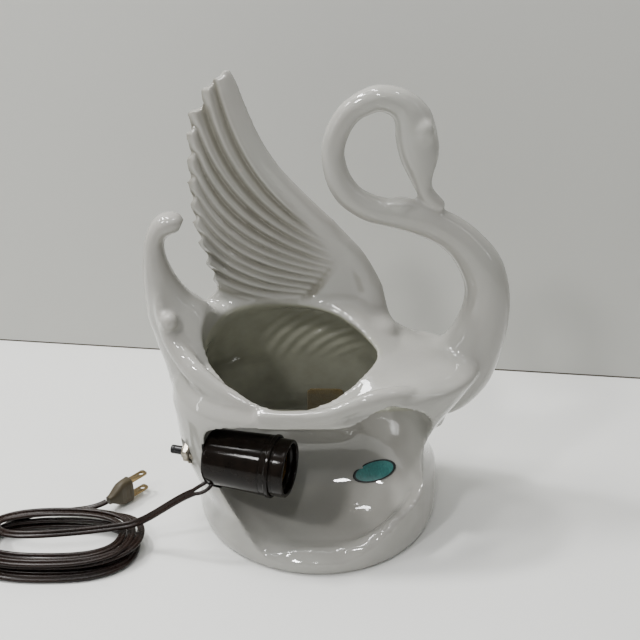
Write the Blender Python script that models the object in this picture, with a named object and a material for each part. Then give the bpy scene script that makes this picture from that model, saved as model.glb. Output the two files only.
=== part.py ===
"""Swan television lamp: a slip-cast ceramic planter with a side-mounted lamp socket.

World frame: metres, +Z up. The origin is the middle of the base, on the table.
+X points to the swan's breast, -Y to the open lamp niche at the back.
"""

import math

import bmesh
import bpy
from mathutils import Matrix, Vector

MM = 0.001

# Ceramic body
BODY_POINTS = 56  # points around each ring of the body
RIM_NEAR_Y = -65 * MM
RIM_NEAR_Z = 115 * MM
RIM_SLOPE = 0.475  # rise of the planter rim per unit of depth
WING_Y = 20 * MM
WALL_THICK = 5.5 * MM
FEATHERS = 18
VOXEL = 2.6 * MM
CERAMIC_SHARE = 0.085  # share of the softened mesh's faces that is kept
LOOSE_GAP = 0.45 * MM  # between the glaze and what is stuck to it

# Lamp socket: its axis leaves the left jamb of the niche and points along +Z of this frame
SOCKET_AT = (-73 * MM, -50 * MM, 70 * MM)
SOCKET_YAW = 16  # degrees, towards -Y

# The socket's own parts, in millimetres in that frame
BORE_RADIUS = 5.4  # hole in the jamb for the threaded bush
BORE_END = -12.6  # where the jamb's outer face is cut flat for the nut
TERMINAL_X, TERMINAL_Y = -8, 6.5
WHEEL_X, WHEEL_Z = 9.6, 13  # ratchet wheel's axle
SPRING_RADIUS, SPRING_TURNS, SPRING_WIRE = 2.5, 5, 0.3
SPRING_START, SPRING_END = 6.5, 18.2
RATCHET_TEETH = 8
TOOTH_DEPTH = 0.82  # radius at a tooth's foot, as a share of its tip's
HEX_RADIUS = 7.2
LEAD_RADIUS = 0.9
CORD_RADIUS = 2.2
CORD_PORT = 3.0  # radius of the hole that the cord leaves by
EXIT_ALONG, EXIT_TURN = 5.2, 45  # its place along the axis, its turn from straight down


def clear_scene():
    for thing in list(bpy.data.objects):
        bpy.data.objects.remove(thing, do_unlink=True)
    for mesh in list(bpy.data.meshes):
        bpy.data.meshes.remove(mesh)


def material(name, colour, roughness, metallic=0.0):
    made = bpy.data.materials.get(name) or bpy.data.materials.new(name)
    made.use_nodes = True
    shader = made.node_tree.nodes["Principled BSDF"]
    shader.inputs["Base Color"].default_value = (*colour, 1.0)
    shader.inputs["Roughness"].default_value = roughness
    shader.inputs["Metallic"].default_value = metallic
    return made


def smooth(rows, steps):
    """Catmull-Rom through rows of numbers, with `steps` stretches between each pair."""
    out = []
    for i in range(len(rows) - 1):
        a = rows[max(i - 1, 0)]
        b, c = rows[i], rows[i + 1]
        d = rows[min(i + 2, len(rows) - 1)]
        for k in range(steps):
            t = k / steps
            out.append([
                0.5 * (2 * q + (r - p) * t + (2 * p - 5 * q + 4 * r - s) * t * t
                       + (3 * q - p - 3 * r + s) * t ** 3)
                for p, q, r, s in zip(a, b, c, d)
            ])
    out.append(list(rows[-1]))
    return out


def add_object(name, mesh, finish=None):
    made = bpy.data.objects.new(name, mesh)
    bpy.context.scene.collection.objects.link(made)
    if finish:
        mesh.materials.append(finish)
    return made


def loft(name, rings):
    """A closed shell through rings of equal count, with a fan on each end."""
    shape = bmesh.new()
    rows = [[shape.verts.new(p) for p in ring] for ring in rings]
    count = len(rows[0])
    for low, high in zip(rows, rows[1:]):
        for i in range(count):
            j = (i + 1) % count
            shape.faces.new((low[i], low[j], high[j], high[i]))
    for row, flip in ((rows[0], True), (rows[-1], False)):
        middle = shape.verts.new(sum((v.co for v in row), Vector()) / count)
        for i in range(count):
            j = (i + 1) % count
            corner = (row[j], row[i], middle) if flip else (row[i], row[j], middle)
            shape.faces.new(corner)
    bmesh.ops.recalc_face_normals(shape, faces=shape.faces)
    mesh = bpy.data.meshes.new(name)
    shape.to_mesh(mesh)
    shape.free()
    return mesh


def oval(left, right, near, far, bulge, count=BODY_POINTS, far_bulge=None, corner=None):
    """Plan outline with its own reach each way; `bulge` over 2 squares its shoulders.

    far_bulge and corner replace it on the far side and at the near left corner.
    """
    out = []
    for i in range(count):
        turn = 2 * math.pi * i / count
        c, s = math.cos(turn), math.sin(turn)
        power = 2 / (far_bulge if far_bulge and s > 0 else bulge)
        if corner and c < 0 and s < 0:
            power = 2 / corner
        x = math.copysign(abs(c) ** power * (right if c > 0 else left), c)
        y = math.copysign(abs(s) ** power * (far if s > 0 else near), s)
        out.append((x, y))
    return out


def tube(name, stations, sides=20):
    """A swept shell: each station is x, y, z, width in the path's plane, width across it."""
    rings = []
    for i, (x, y, z, wide, deep) in enumerate(stations):
        a = stations[max(i - 1, 0)]
        b = stations[min(i + 1, len(stations) - 1)]
        along = Vector((b[0] - a[0], b[1] - a[1], b[2] - a[2])).normalized()
        across = Vector((0, 1, 0))
        side = along.cross(across).normalized()
        across = side.cross(along).normalized()
        ring = []
        for k in range(sides):
            turn = 2 * math.pi * k / sides
            ring.append(Vector((x, y, z)) + side * (math.cos(turn) * wide / 2)
                        + across * (math.sin(turn) * deep / 2))
        rings.append(ring)
    return loft(name, rings)


def in_mm(rows):
    return [[value * MM for value in row] for row in rows]


# ---------------------------------------------------------------- ceramic body

# height, left, right, near, far reach of the outer wall
WALL = in_mm([
    (-2, -85, 85, -85, 68),
    (4, -88, 88, -88, 71),
    (14, -88, 87, -88, 70),
    (28, -87, 87, -86, 66),
    (41, -91, 82, -83, 61),
    (52, -94, 78, -80, 56),
    (64, -97, 82, -77, 52),
    (76, -98, 91, -75, 50),
    (90, -99, 101, -74, 49),
    (103, -101, 110, -72, 48),
])


def ease(value, start, end):
    """0 before start, 1 after end, smooth between."""
    t = min(max((value - start) / (end - start), 0), 1)
    return t * t * (3 - 2 * t)


def crown(x, y):
    """Height of the swan's back: the slope of the planter rim, then a saddle to the neck."""
    rim = RIM_NEAR_Z + RIM_SLOPE * (min(y, WING_Y) - RIM_NEAR_Y)
    saddle = 128 * MM - 1.6 * min(y, 0) ** 2
    towards_neck = ease(x, 26 * MM, 66 * MM)
    beyond = max(y - WING_Y, 0)
    drop = (1 - 0.75 * towards_neck) * (0.9 * beyond + 6 * beyond * beyond)
    return rim * (1 - towards_neck) + saddle * towards_neck - drop


def lip_height(x):
    """How far the lower edge of the lip leaves its middle height, from tail to breast."""
    return 9 * MM * ease(x, 5 * MM, 66 * MM) - 2 * MM * ease(-x, 38 * MM, 74 * MM)


def body_rings():
    rings = []
    for height, left, right, near, far in smooth(WALL, 2):
        share = ease(height, 20 * MM, 90 * MM)
        rings.append([(x, y, height + share * lip_height(x) * ease(-y, -30 * MM, 30 * MM))
                      for x, y in oval(-left, right, -near, far, 2 + 0.35 * share,
                                       corner=2 + 1.1 * share)])
    for share in (0.985, 0.95, 0.9, 0.82, 0.7, 0.5, 0.25):
        lift = (1 - share ** 9) ** (1 / 2.2)
        ring = []
        for x, y, z in rings[len(smooth(WALL, 2)) - 1]:
            px, py = x * share, y * share
            ring.append((px, py, z + (crown(px, py) - z) * lift))
        rings.append(ring)
    return rings


NECK = in_mm([
    (70, -2, 92, 40, 50),
    (84, -1, 101, 50, 54),
    (97, 0, 112.5, 48, 48),
    (105, 0, 127, 40, 40),
    (110, 0, 143, 35, 35),
    (112, 0, 160, 31, 31),
    (110, 0, 175, 29, 28),
    (105, 0, 187, 28, 26),
    (96, 0, 199, 25, 24),
    (86, 0, 208, 23, 22),
    (75, 0, 214, 22, 21),
    (62, 0, 219, 22, 20),
    (46, 0, 222, 19, 18),
    (33, 0, 225, 18, 17),
    (22, 0, 231, 17, 16),
    (16, 0, 237, 17, 16),
    (11, 0, 246, 16, 16),
    (8, 0, 259, 15, 15),
    (9, 0, 269, 15, 15),
    (13, 0, 279, 15, 15),
    (19, 0, 287, 15, 15),
    (29, 0, 293, 16, 16),
    (38, 0, 295, 16.5, 17),
    (50, 0, 291, 19, 19),
    (57, 0, 282, 24, 22),
    (60, 0, 271, 27, 24),
    (62, 0, 258, 24, 22),
    (63.5, 0, 247, 16, 18),
    (64.5, 0, 239, 12, 15),
    (67, 0, 232, 13.5, 14),
    (70, 0, 228, 12, 12),
])

TAIL = in_mm([
    (-68, -4, 92, 60, 80),
    (-76, -4, 110, 56, 72),
    (-84, -5, 130, 48, 58),
    (-91, -6, 146, 44, 44),
    (-98, -7, 158, 36, 34),
    (-102, -8, 169, 27, 28),
    (-105, -9, 181, 21, 24),
    (-106.5, -10, 194, 15.5, 22),
    (-106, -10, 205, 13, 20),
    (-103, -10, 213, 13, 19),
    (-98, -10, 218, 15, 19),
    (-92, -10, 218.5, 14, 17),
    (-88, -10, 217, 9, 11),
])


# Front edge of the wing: x, z, width in its plane, thickness
WING_FRONT = in_mm([
    (42, 134, 20, 12),
    (38, 150, 18, 12),
    (35, 164, 16, 11),
    (28, 179, 15, 10),
    (17, 193, 14, 10),
    (-1, 211, 13, 9),
    (-17, 227, 13, 9),
    (-31, 243, 12, 9),
    (-43, 263, 11, 8),
    (-51, 283, 10, 7),
    (-56, 300, 8, 6),
    (-59, 309, 5, 5),
])
WING_TIPS = in_mm([(-62, 304), (-69, 299), (-78, 286), (-81, 264), (-82, 245), (-82, 229),
                   (-81, 213), (-80, 201), (-78, 189), (-76, 179), (-73, 168)])
FEATHER_ROOTS = in_mm([(14, 191), (-4, 154)])  # highest and lowest feather
FEATHER_BENDS = in_mm([(-24, 229), (-44, 161)])
WING_PLATE = in_mm([(42, 128), (38, 155), (30, 176), (15, 193), (-17, 225), (-44, 262),
                    (-58, 298), (-72, 290), (-78, 262), (-78, 229), (-76, 201), (-73, 180),
                    (-72, 160), (-82, 150), (-80, 128)])


def mix(a, b, share):
    return [p + (q - p) * share for p, q in zip(a, b)]


def plate(name, outline, low_y, high_y):
    """A flat closed slab whose outline lies in the XZ plane."""
    shape = bmesh.new()
    near = [shape.verts.new((x, low_y, z)) for x, z in outline]
    far = [shape.verts.new((x, high_y, z)) for x, z in outline]
    shape.faces.new(near)
    shape.faces.new(far[::-1])
    for i in range(len(near)):
        j = (i + 1) % len(near)
        shape.faces.new((near[j], near[i], far[i], far[j]))
    bmesh.ops.recalc_face_normals(shape, faces=shape.faces)
    mesh = bpy.data.meshes.new(name)
    shape.to_mesh(mesh)
    shape.free()
    return mesh


def wing_lean(x, z):
    """The wing's middle surface: dished a little, its edges curling to the back."""
    across = (x + 20 * MM) / (65 * MM)
    return WING_Y - 3 * MM * across * across + 2 * MM * ease(z, 220 * MM, 310 * MM)


def wing_shells():
    """The raised wing: feather blades fanned from the shoulder, a thick front edge, a web."""
    edge = [(x, wing_lean(x, z), z, wide, thick)
            for x, z, wide, thick in smooth(WING_FRONT, 2)]
    shells = [tube("front_edge", edge, 14)]
    tips = smooth(WING_TIPS, 4)
    for i in range(FEATHERS):
        share = i / (FEATHERS - 1)
        place = share * (len(tips) - 1)
        tip = mix(tips[int(place)], tips[min(int(place) + 1, len(tips) - 1)], place % 1)
        root = mix(*FEATHER_ROOTS, share)
        bend = mix(*FEATHER_BENDS, share)
        stations = []
        for k in range(13):
            t = k / 12
            x, z = (p * (1 - t) ** 2 + 2 * q * t * (1 - t) + r * t * t
                    for p, q, r in zip(root, bend, tip))
            wide = (6 + 9 * t - 5 * t ** 6) * MM * (1.25 - 0.45 * share)
            thick = (4 + 6.5 * ease(t, 0, 0.35) - 3.5 * t ** 4) * MM
            stations.append((x, wing_lean(x, z), z, wide, thick))
        shells.append(tube("feather", stations, 12))
    web = plate("web", WING_PLATE, WING_Y - 3.5 * MM, WING_Y + 3 * MM)
    return shells + [web]


OPENING = in_mm([(38, -26), (33, -14), (18, 1), (-4, 11), (-30, 15), (-55, 11.5), (-71, -1),
                 (-77, -21), (-66, -40), (-47, -58), (-22, -65.5), (6, -59), (28, -42)])


def closed_curve(points, count):
    """`count` points evenly spaced by index on a smooth closed curve through `points`."""
    total = len(points)
    out = []
    for k in range(count):
        place = k * total / count
        i, t = int(place), place - int(place)
        a, b, c, d = (points[(i + j) % total] for j in (-1, 0, 1, 2))
        out.append(tuple(
            0.5 * (2 * q + (r - p) * t + (2 * p - 5 * q + 4 * r - s) * t * t
                   + (3 * q - p - 3 * r + s) * t ** 3)
            for p, q, r, s in zip(a, b, c, d)))
    return out


# The planter's inside: height at the middle, slope in depth, left, right, near and far wall
CAVITY = [
    (9, 0, -58, 56, 8, 58),
    (24, 0, -74, 70, 3, 59),
    (45, 0, -80, 70, 1, 53),
    (62, 0, -86, 74, -1, 46),
    (78, 0, -88, 82, -8, 44),
    (90, 0, -90, 90, -26, 43),
    (102, 0, -88, 92, -50, 41),
    (115, 0.16, -82, 80, -62, 37),
    (126, 0.32, -77, 60, -64, 29),
]


def inside_wall(x, y, height):
    """The point drawn in until it leaves the body's outer wall its thickness."""
    place = min(height / WALL[-1][0], 1)
    for low, high in zip(WALL, WALL[1:]):
        if high[0] >= place * WALL[-1][0]:
            break
    _, left, right, near, far = mix(low, high, min((height - low[0]) / (high[0] - low[0]), 1))
    keep = WALL_THICK + 0.22 * max(height - WALL[-1][0], 0)
    reach_x = (right if x > 0 else -left) - keep
    reach_y = (far if y > 0 else -near) - keep
    out = (abs(x / reach_x) ** 2.3 + abs(y / reach_y) ** 2.3) ** (1 / 2.3)
    return (x / out, y / out) if out > 1 else (x, y)


def cavity_rings():
    rings = []
    for height, slope, left, right, near, far in smooth(CAVITY, 2):
        cx, cy = (left + right) / 2, (near + far) / 2
        ring = []
        for dx, dy in oval(cx - left, right - cx, cy - near, far - cy, 2.3, 52):
            x, y = inside_wall(MM * (cx + dx), MM * (cy + dy), MM * height)
            ring.append((x, y, min(MM * (height + slope * dy), crown(x, y) - WALL_THICK)))
        rings.append(ring)
    outline = closed_curve(OPENING, 52)
    for rise in (-5 * MM, 14 * MM):
        rings.append([(x, y - rise * RIM_SLOPE, RIM_NEAR_Z + RIM_SLOPE * (y - RIM_NEAR_Y) + rise)
                      for x, y in outline])
    return rings


# The lamp niche: depth, left, right, floor and ceiling, from behind the base to its deep wall
NICHE = [
    (-112, -76, 76, 12, 104),
    (-88, -76, 76, 12, 104),
    (-72, -76, 76, 12, 104),
    (-60, -76, 75, 12, 102.5),
    (-45, -76, 72, 12.5, 98),
    (-30, -75, 66, 15, 91),
    (-20, -71, 58, 20, 84),
    (-12, -62, 46, 28, 75),
    (-8, -46, 30, 38, 64),
]


def niche_rings():
    rings = []
    for depth, left, right, floor, top in smooth(in_mm(NICHE), 3):
        cx, cz = (left + right) / 2, (floor + top) / 2
        ring = []
        for dx, dz in oval(cx - left, right - cx, cz - floor, top - cz, 2.7, 52, 5):
            x, z = cx + dx, cz + dz
            foot = 0.76 if x > 0 else 0.60
            x *= foot + (1 - foot) * ease(z, -20 * MM, 100 * MM)
            upper = ease(z, 30 * MM, 90 * MM)
            away = math.hypot(x, depth)
            roll = 14 * MM * ease(away, 66 * MM, 98 * MM) * (1 - ease(z, 10 * MM, 45 * MM))
            ring.append((x, depth, z + upper * lip_height(x) - roll))
        rings.append(ring)
    return rings


def join_shells(name, meshes):
    shape = bmesh.new()
    for mesh in meshes:
        shape.from_mesh(mesh)
    joined = bpy.data.meshes.new(name)
    shape.to_mesh(joined)
    shape.free()
    return joined


def boss(name, at, radii):
    """An egg-shaped lump for the union."""
    shape = bmesh.new()
    bmesh.ops.create_uvsphere(shape, u_segments=20, v_segments=12, radius=1,
                              matrix=Matrix.Translation(at) @ Matrix.Diagonal((*radii, 1)))
    mesh = bpy.data.meshes.new(name)
    shape.to_mesh(mesh)
    shape.free()
    return mesh


def helper(name, mesh):
    made = add_object(name, mesh)
    made.hide_render = True
    made.display_type = "WIRE"
    return made


def round_cutter(name, low, high, radius, parent, sides=40):
    """A round hole's cutter along its parent's Z, from low to high in millimetres."""
    profile = [(0, low), (radius, low), (radius, high), (0, high)]
    made = helper(name, turned(name, profile, sides))
    made.parent = parent
    return made


def subtract(target, cutter):
    cut = target.modifiers.new(cutter.name, "BOOLEAN")
    cut.operation = "DIFFERENCE"
    cut.object = cutter


def remesh(target, name, voxel):
    made = target.modifiers.new(name, "REMESH")
    made.mode = "VOXEL"
    made.voxel_size = voxel
    made.use_smooth_shade = True


def ceramic_body(socket):
    """One slip-cast piece: stand, swan and planter, with the niche and planter cut out."""
    shells = [loft("body", body_rings()), tube("neck", smooth(NECK, 3)),
              tube("tail", smooth(TAIL, 3))] + wing_shells()
    shells.append(boss("shoulder", (44 * MM, 8 * MM, 139 * MM), (12 * MM, 11 * MM, 8 * MM)))
    shells.append(boss("tail_curl", (-99 * MM, -25 * MM, 155 * MM), (8 * MM, 7 * MM, 7 * MM)))
    whole = add_object("ceramic_body", join_shells("ceramic_body", shells),
                       material("glaze", (0.86, 0.86, 0.84), 0.12))
    remesh(whole, "union", VOXEL)
    subtract(whole, helper("cavity", loft("cavity", cavity_rings())))
    subtract(whole, helper("niche", loft("niche", niche_rings())))
    remesh(whole, "soften", VOXEL)
    relax = whole.modifiers.new("relax", "SMOOTH")
    relax.factor = 0.5
    relax.iterations = 3
    subtract(whole, round_cutter("inner_seat", -0.5, 14, 20, socket))
    thin = whole.modifiers.new("thin", "DECIMATE")
    thin.ratio = CERAMIC_SHARE
    below = box_of("foot_cut", (-200, 200), (-200, 200), (-50, 0))
    subtract(whole, helper("foot_cut", below))
    subtract(whole, round_cutter("bore", -30, 8, BORE_RADIUS, socket))
    subtract(whole, round_cutter("outer_seat", -30, BORE_END, 11, socket))
    return whole


# ---------------------------------------------------------------- general pieces

def on_circle(radius, turns):
    """A point of the circle, that many turns round from +X."""
    return (radius * math.cos(2 * math.pi * turns), radius * math.sin(2 * math.pi * turns))


def turned(name, profile, sides=32, hollow=False):
    """A body turned about Z from (radius, height) in millimetres.

    A solid profile starts and ends on the axis; a hollow one closes on itself.
    """
    shape = bmesh.new()
    rows = []
    for radius, height in profile:
        steps = sides if radius else 1
        turns = [2 * math.pi * k / sides for k in range(steps)]
        rows.append([shape.verts.new((radius * MM * math.cos(t), radius * MM * math.sin(t),
                                      height * MM)) for t in turns])
    pairs = list(zip(rows, rows[1:])) + ([(rows[-1], rows[0])] if hollow else [])
    for low, high in pairs:
        for i in range(sides):
            j = (i + 1) % sides
            corners = (low[i % len(low)], low[j % len(low)], high[j % len(high)], high[i % len(high)])
            corners = list(dict.fromkeys(corners))
            if len(corners) > 2:
                shape.faces.new(corners)
    bmesh.ops.recalc_face_normals(shape, faces=shape.faces)
    mesh = bpy.data.meshes.new(name)
    shape.to_mesh(mesh)
    shape.free()
    mesh.shade_smooth()
    mesh.set_sharp_from_angle(angle=math.radians(35))
    return mesh


def prism(name, outline, low, high):
    """A closed prism along Z from an outline in millimetres."""
    shape = bmesh.new()
    bottom = [shape.verts.new((x * MM, y * MM, low * MM)) for x, y in outline]
    top = [shape.verts.new((x * MM, y * MM, high * MM)) for x, y in outline]
    shape.faces.new(bottom[::-1])
    shape.faces.new(top)
    for i in range(len(bottom)):
        j = (i + 1) % len(bottom)
        shape.faces.new((bottom[i], bottom[j], top[j], top[i]))
    bmesh.ops.recalc_face_normals(shape, faces=shape.faces)
    mesh = bpy.data.meshes.new(name)
    shape.to_mesh(mesh)
    shape.free()
    return mesh


def box_mesh(name, low, high):
    """A box between two corners in metres."""
    shape = bmesh.new()
    middle = [(a + b) / 2 for a, b in zip(low, high)]
    size = [b - a for a, b in zip(low, high)]
    bmesh.ops.create_cube(shape, size=1, matrix=Matrix.Translation(middle)
                          @ Matrix.Diagonal((*size, 1)))
    mesh = bpy.data.meshes.new(name)
    shape.to_mesh(mesh)
    shape.free()
    return mesh


def box_of(name, *spans):
    """A box from three (low, high) spans in millimetres."""
    return box_mesh(name, [a * MM for a, _ in spans], [b * MM for _, b in spans])


def wire(name, points, radius, finish, parent=None):
    """A round wire or cord of smooth POLY points, given in millimetres."""
    curve = bpy.data.curves.new(name, "CURVE")
    curve.dimensions = "3D"
    curve.bevel_depth = radius * MM
    curve.bevel_resolution = 2
    curve.use_fill_caps = True
    spline = curve.splines.new("POLY")
    spline.points.add(len(points) - 1)
    for slot, point in zip(spline.points, points):
        slot.co = (*[value * MM for value in point], 1)
    made = add_object(name, curve, finish)
    made.parent = parent
    return made


def piece(name, mesh, finish, parent):
    made = add_object(name, mesh, finish)
    made.parent = parent
    return made


# ---------------------------------------------------------------- lamp socket

def socket_frame():
    """An empty at the jamb: its +Z is the socket's axis, its +X points down."""
    frame = bpy.data.objects.new("socket_axis", None)
    frame.location = SOCKET_AT
    frame.rotation_euler = (0, math.radians(90), math.radians(-SOCKET_YAW))
    bpy.context.scene.collection.objects.link(frame)
    return frame


def socket_shells(socket):
    """Housing, mouth ring, screw shell and what the bulb touches."""
    phenolic = material("phenolic", (0.018, 0.013, 0.011), 0.22)
    brass = material("brass", (0.62, 0.47, 0.22), 0.35, 1)
    housing = piece("socket_housing", turned("socket_housing", [
        (5.4, 0), (16.8, 0), (17.9, 1), (18.3, 3), (20.3, 43.6), (20.9, 44.2), (20.9, 46),
        (20.3, 46.5), (19.4, 46.5), (19.4, 38), (18.0, 37.6), (16.2, 2.4), (5.4, 2.4)],
        40, hollow=True), phenolic, socket)
    port = round_cutter("cord_port", 8, 26, CORD_PORT, socket, 16)
    port.location = (0, 0, EXIT_ALONG * MM)
    port.rotation_euler = (0, math.radians(90), math.radians(-EXIT_TURN))
    subtract(housing, port)
    piece("socket_mouth_ring", turned("socket_mouth_ring", [
        (15.2, 22.4), (16.6, 22.4), (17.5, 37.9), (19, 38.4), (19, 59.3), (18.3, 60),
        (16.9, 60), (16.2, 59.3), (16.2, 52), (15.2, 51)], 40, hollow=True), phenolic, socket)
    piece("screw_shell", turned("screw_shell", [
        (3.6, 24.6), (12.9, 24.6), (13.4, 25.2), (13.9, 28), (13.3, 30), (13.9, 32), (13.3, 34),
        (13.9, 36), (13.3, 38), (13.9, 40), (13.9, 48), (14.7, 49), (14.7, 49.5), (13.9, 49.5),
        (13.4, 48.5), (13.4, 41), (12.8, 38), (13.4, 36), (12.8, 34), (13.4, 32), (12.8, 30),
        (13.2, 28), (12.6, 25.3), (3.6, 25.3)], 28, hollow=True), brass, socket)
    piece("centre_contact", turned("centre_contact", [
        (0, 22.3), (3, 22.3), (3, 24), (1.8, 26), (1.2, 27.4), (0, 27.8)], 16), brass, socket)
    disc = piece("insulator_disc", turned("insulator_disc", [
        (0, 19), (16.0, 19), (16.0, 22), (0, 22)], 32), phenolic, socket)
    for side, label in ((1, "line"), (-1, "neutral")):
        at = (TERMINAL_X * MM, side * TERMINAL_Y * MM, 0)
        terminal = piece(label + "_terminal", box_of(
            label + "_terminal", (-11.5, -4.5), sorted((side * 3.5, side * 9.5)), (17.9, 18.7)),
            brass, socket)
        hole = round_cutter(label + "_hole", 15, 24, 1.7, socket, 12)
        hole.location = at
        subtract(terminal, hole)
        subtract(disc, hole)
        screw = piece(label + "_screw", turned(label + "_screw", [
            (0, 15.6), (2.4, 15.6), (2.7, 16), (2.7, 17.6), (1.35, 17.6), (1.35, 21.6), (0, 21.6)], 16),
            material("steel", (0.55, 0.54, 0.52), 0.3, 1), socket)
        screw.location = at


def switch_parts(socket):
    """The push switch that shares the socket's mounting bush."""
    nickel = material("nickel", (0.62, 0.58, 0.5), 0.32, 1)
    brass = material("brass", (0.62, 0.47, 0.22), 0.35, 1)
    black = material("button_black", (0.012, 0.012, 0.013), 0.25)
    steel = material("steel", (0.55, 0.54, 0.52), 0.3, 1)
    piece("threaded_bush", turned("threaded_bush", [
        (3.3, -19), (4.7, -19), (4.95, -18.7), (4.95, 2.7), (7.5, 2.7), (7.5, 3.9), (3.3, 3.9)],
        24, hollow=True), nickel, socket)
    piece("lock_washer", turned("lock_washer", [
        (5.3, -13.9), (7.6, -13.9), (7.6, -12.9), (5.3, -12.9)], 28, hollow=True), nickel, socket)
    corners = [on_circle(HEX_RADIUS, k / 6) for k in range(6)]
    nut = piece("hex_nut", prism("hex_nut", corners, -17.4, -14.2), nickel, socket)
    subtract(nut, round_cutter("nut_bore", -19, -12, 5.3, socket, 24))
    piece("push_button", turned("push_button", [
        (0, -28), (2.2, -28), (3, -27.2), (3, 4.2), (0, 4.2)], 20), black, socket)
    rod = piece("switch_plunger", turned("switch_plunger", [
        (0, 4.5), (4, 4.5), (4, 5.7), (1.4, 5.7), (1.4, 13), (0, 13)], 16), brass, socket)
    pawl = helper("pawl", box_of("pawl", (0.5, 5.3), (-1, 1), (4.7, 5.5)))
    tip = helper("pawl_tip", box_of("pawl_tip", (4.4, 5.3), (-1, 1), (4.9, 10.5)))
    for extra in (pawl, tip):
        extra.parent = socket
        add = rod.modifiers.new(extra.name, "BOOLEAN")
        add.operation = "UNION"
        add.object = extra
    steps = 10 * SPRING_TURNS
    coil = [(*on_circle(SPRING_RADIUS, k / 10), SPRING_START + (SPRING_END - SPRING_START) * k / steps)
            for k in range(steps + 1)]
    wire("return_spring", coil, SPRING_WIRE, steel, socket)
    wheel = piece("ratchet_wheel", turned("ratchet_wheel", [
        (1.0, -1.4), (3.8, -1.4), (3.8, 1.4), (1.0, 1.4)], 2 * RATCHET_TEETH, hollow=True),
        brass, socket)
    for index, vertex in enumerate(wheel.data.vertices):
        if math.hypot(vertex.co.x, vertex.co.y) > 2 * MM and index % 2:
            vertex.co.xy *= TOOTH_DEPTH
    axle = piece("ratchet_axle", turned("ratchet_axle", [
        (0, -5), (0.7, -5), (0.7, 5), (0, 5)], 12), steel, socket)
    frame = piece("switch_frame", box_of(
        "switch_frame", (6.6, 14.4), (-4.1, 4.1), (9.4, 18.6)), steel, socket)
    gap = helper("frame_gap", box_of("frame_gap", (0, 13.6), (-3.3, 3.3), (9, 19)))
    pivot = round_cutter("frame_pivot", -6, 6, 1.0, socket, 12)
    for turning in (wheel, axle, pivot):
        turning.location = (WHEEL_X * MM, 0, WHEEL_Z * MM)
        turning.rotation_euler = (math.radians(90), 0, 0)
    gap.parent = socket
    subtract(frame, gap)
    subtract(frame, pivot)
    piece("switch_leaf", box_of(
        "switch_leaf", (3.8, 12.8), (-1.6, 1.6), (17.15, 17.5)), brass, socket)
    contact = piece("fixed_contact", turned("fixed_contact", [
        (0, 17.8), (1.2, 17.8), (1.2, 18.7), (0, 18.7)], 12), brass, socket)
    contact.location = (11.6 * MM, 0, 0)


def exit_point(distance):
    """A point on the cord port's axis, that far from the socket's axis, in the socket's frame."""
    turn = math.radians(EXIT_TURN)
    return (distance * math.cos(turn), -distance * math.sin(turn), EXIT_ALONG)


def leads(socket):
    """The two insulated conductors inside the housing, from the port to the terminal screws."""
    brown = material("cord_brown", (0.05, 0.025, 0.018), 0.4)
    for side, label in ((1, "line"), (-1, "neutral")):
        start = Vector(exit_point(14.6)) + Vector((0.8, 0.8, 0)) * side * 1.4
        if side > 0:
            bends = [(13.4, -2.0, 6.2), (12.4, 4.6, 7.2), (6.5, 10.0, 11), (-1.0, 11.6, 14.4)]
        else:
            bends = [(7.4, -11.0, 7.2), (3.4, -12.2, 10.5), (-0.6, -11.9, 14.2)]
        end = (-4.4, side * 9.4, 16.5)
        wire("lead_" + label, smooth([start, *bends, end], 4), LEAD_RADIUS, brown, socket)


# ---------------------------------------------------------------- cord and plug

# The free stretch of cord, from the port to the hank: world millimetres
CORD_ROUTE = [
    (-71.2, -62.6, 58.8), (-73.0, -65.2, 56.6), (-76.4, -66.9, 55.0), (-81, -66.8, 53.4),
    (-88, -66, 49.5), (-98, -64.5, 42.0), (-108, -62.5, 33.6), (-117.4, -60.5, 25.9),
]
# From the side of the hank to the plug
TAIL_ROUTE = [
    (-190, -27.2, 6.4), (-182, -27.2, 6.6), (-174, -27.2, 7.4), (-166, -27.1, 8.6),
    (-160.5, -26.2, 9.4), (-156.8, -24.3, 10), (-153.7, -21.5, 10.3),
]
HANK_LENGTH, HANK_WIDTH, HANK_HEIGHT = 120, 66, 22
HANK_RIGHT, HANK_MIDDLE_Y = -119.5, -63
PLUG_AT = (-153.2 * MM, -20.9 * MM, 10.3 * MM)
PLUG_YAW = 50
BLADE_SPREAD = 12.7


def cord_parts():
    brown = material("cord_brown", (0.05, 0.025, 0.018), 0.4)
    wire("cord", smooth(CORD_ROUTE, 3), CORD_RADIUS, brown)
    wire("cord_tail", smooth(TAIL_ROUTE, 2), CORD_RADIUS, brown)
    radius = HANK_WIDTH / 2
    outline = []
    for centre, turn in ((HANK_RIGHT - radius, -90), (HANK_RIGHT - HANK_LENGTH + radius, 90)):
        for k in range(13):
            angle = math.radians(turn + 15 * k)
            outline.append((centre + radius * math.cos(angle),
                            HANK_MIDDLE_Y + radius * math.sin(angle)))
    add_object("cord_hank", prism("cord_hank", outline, 0, HANK_HEIGHT), brown)


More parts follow.
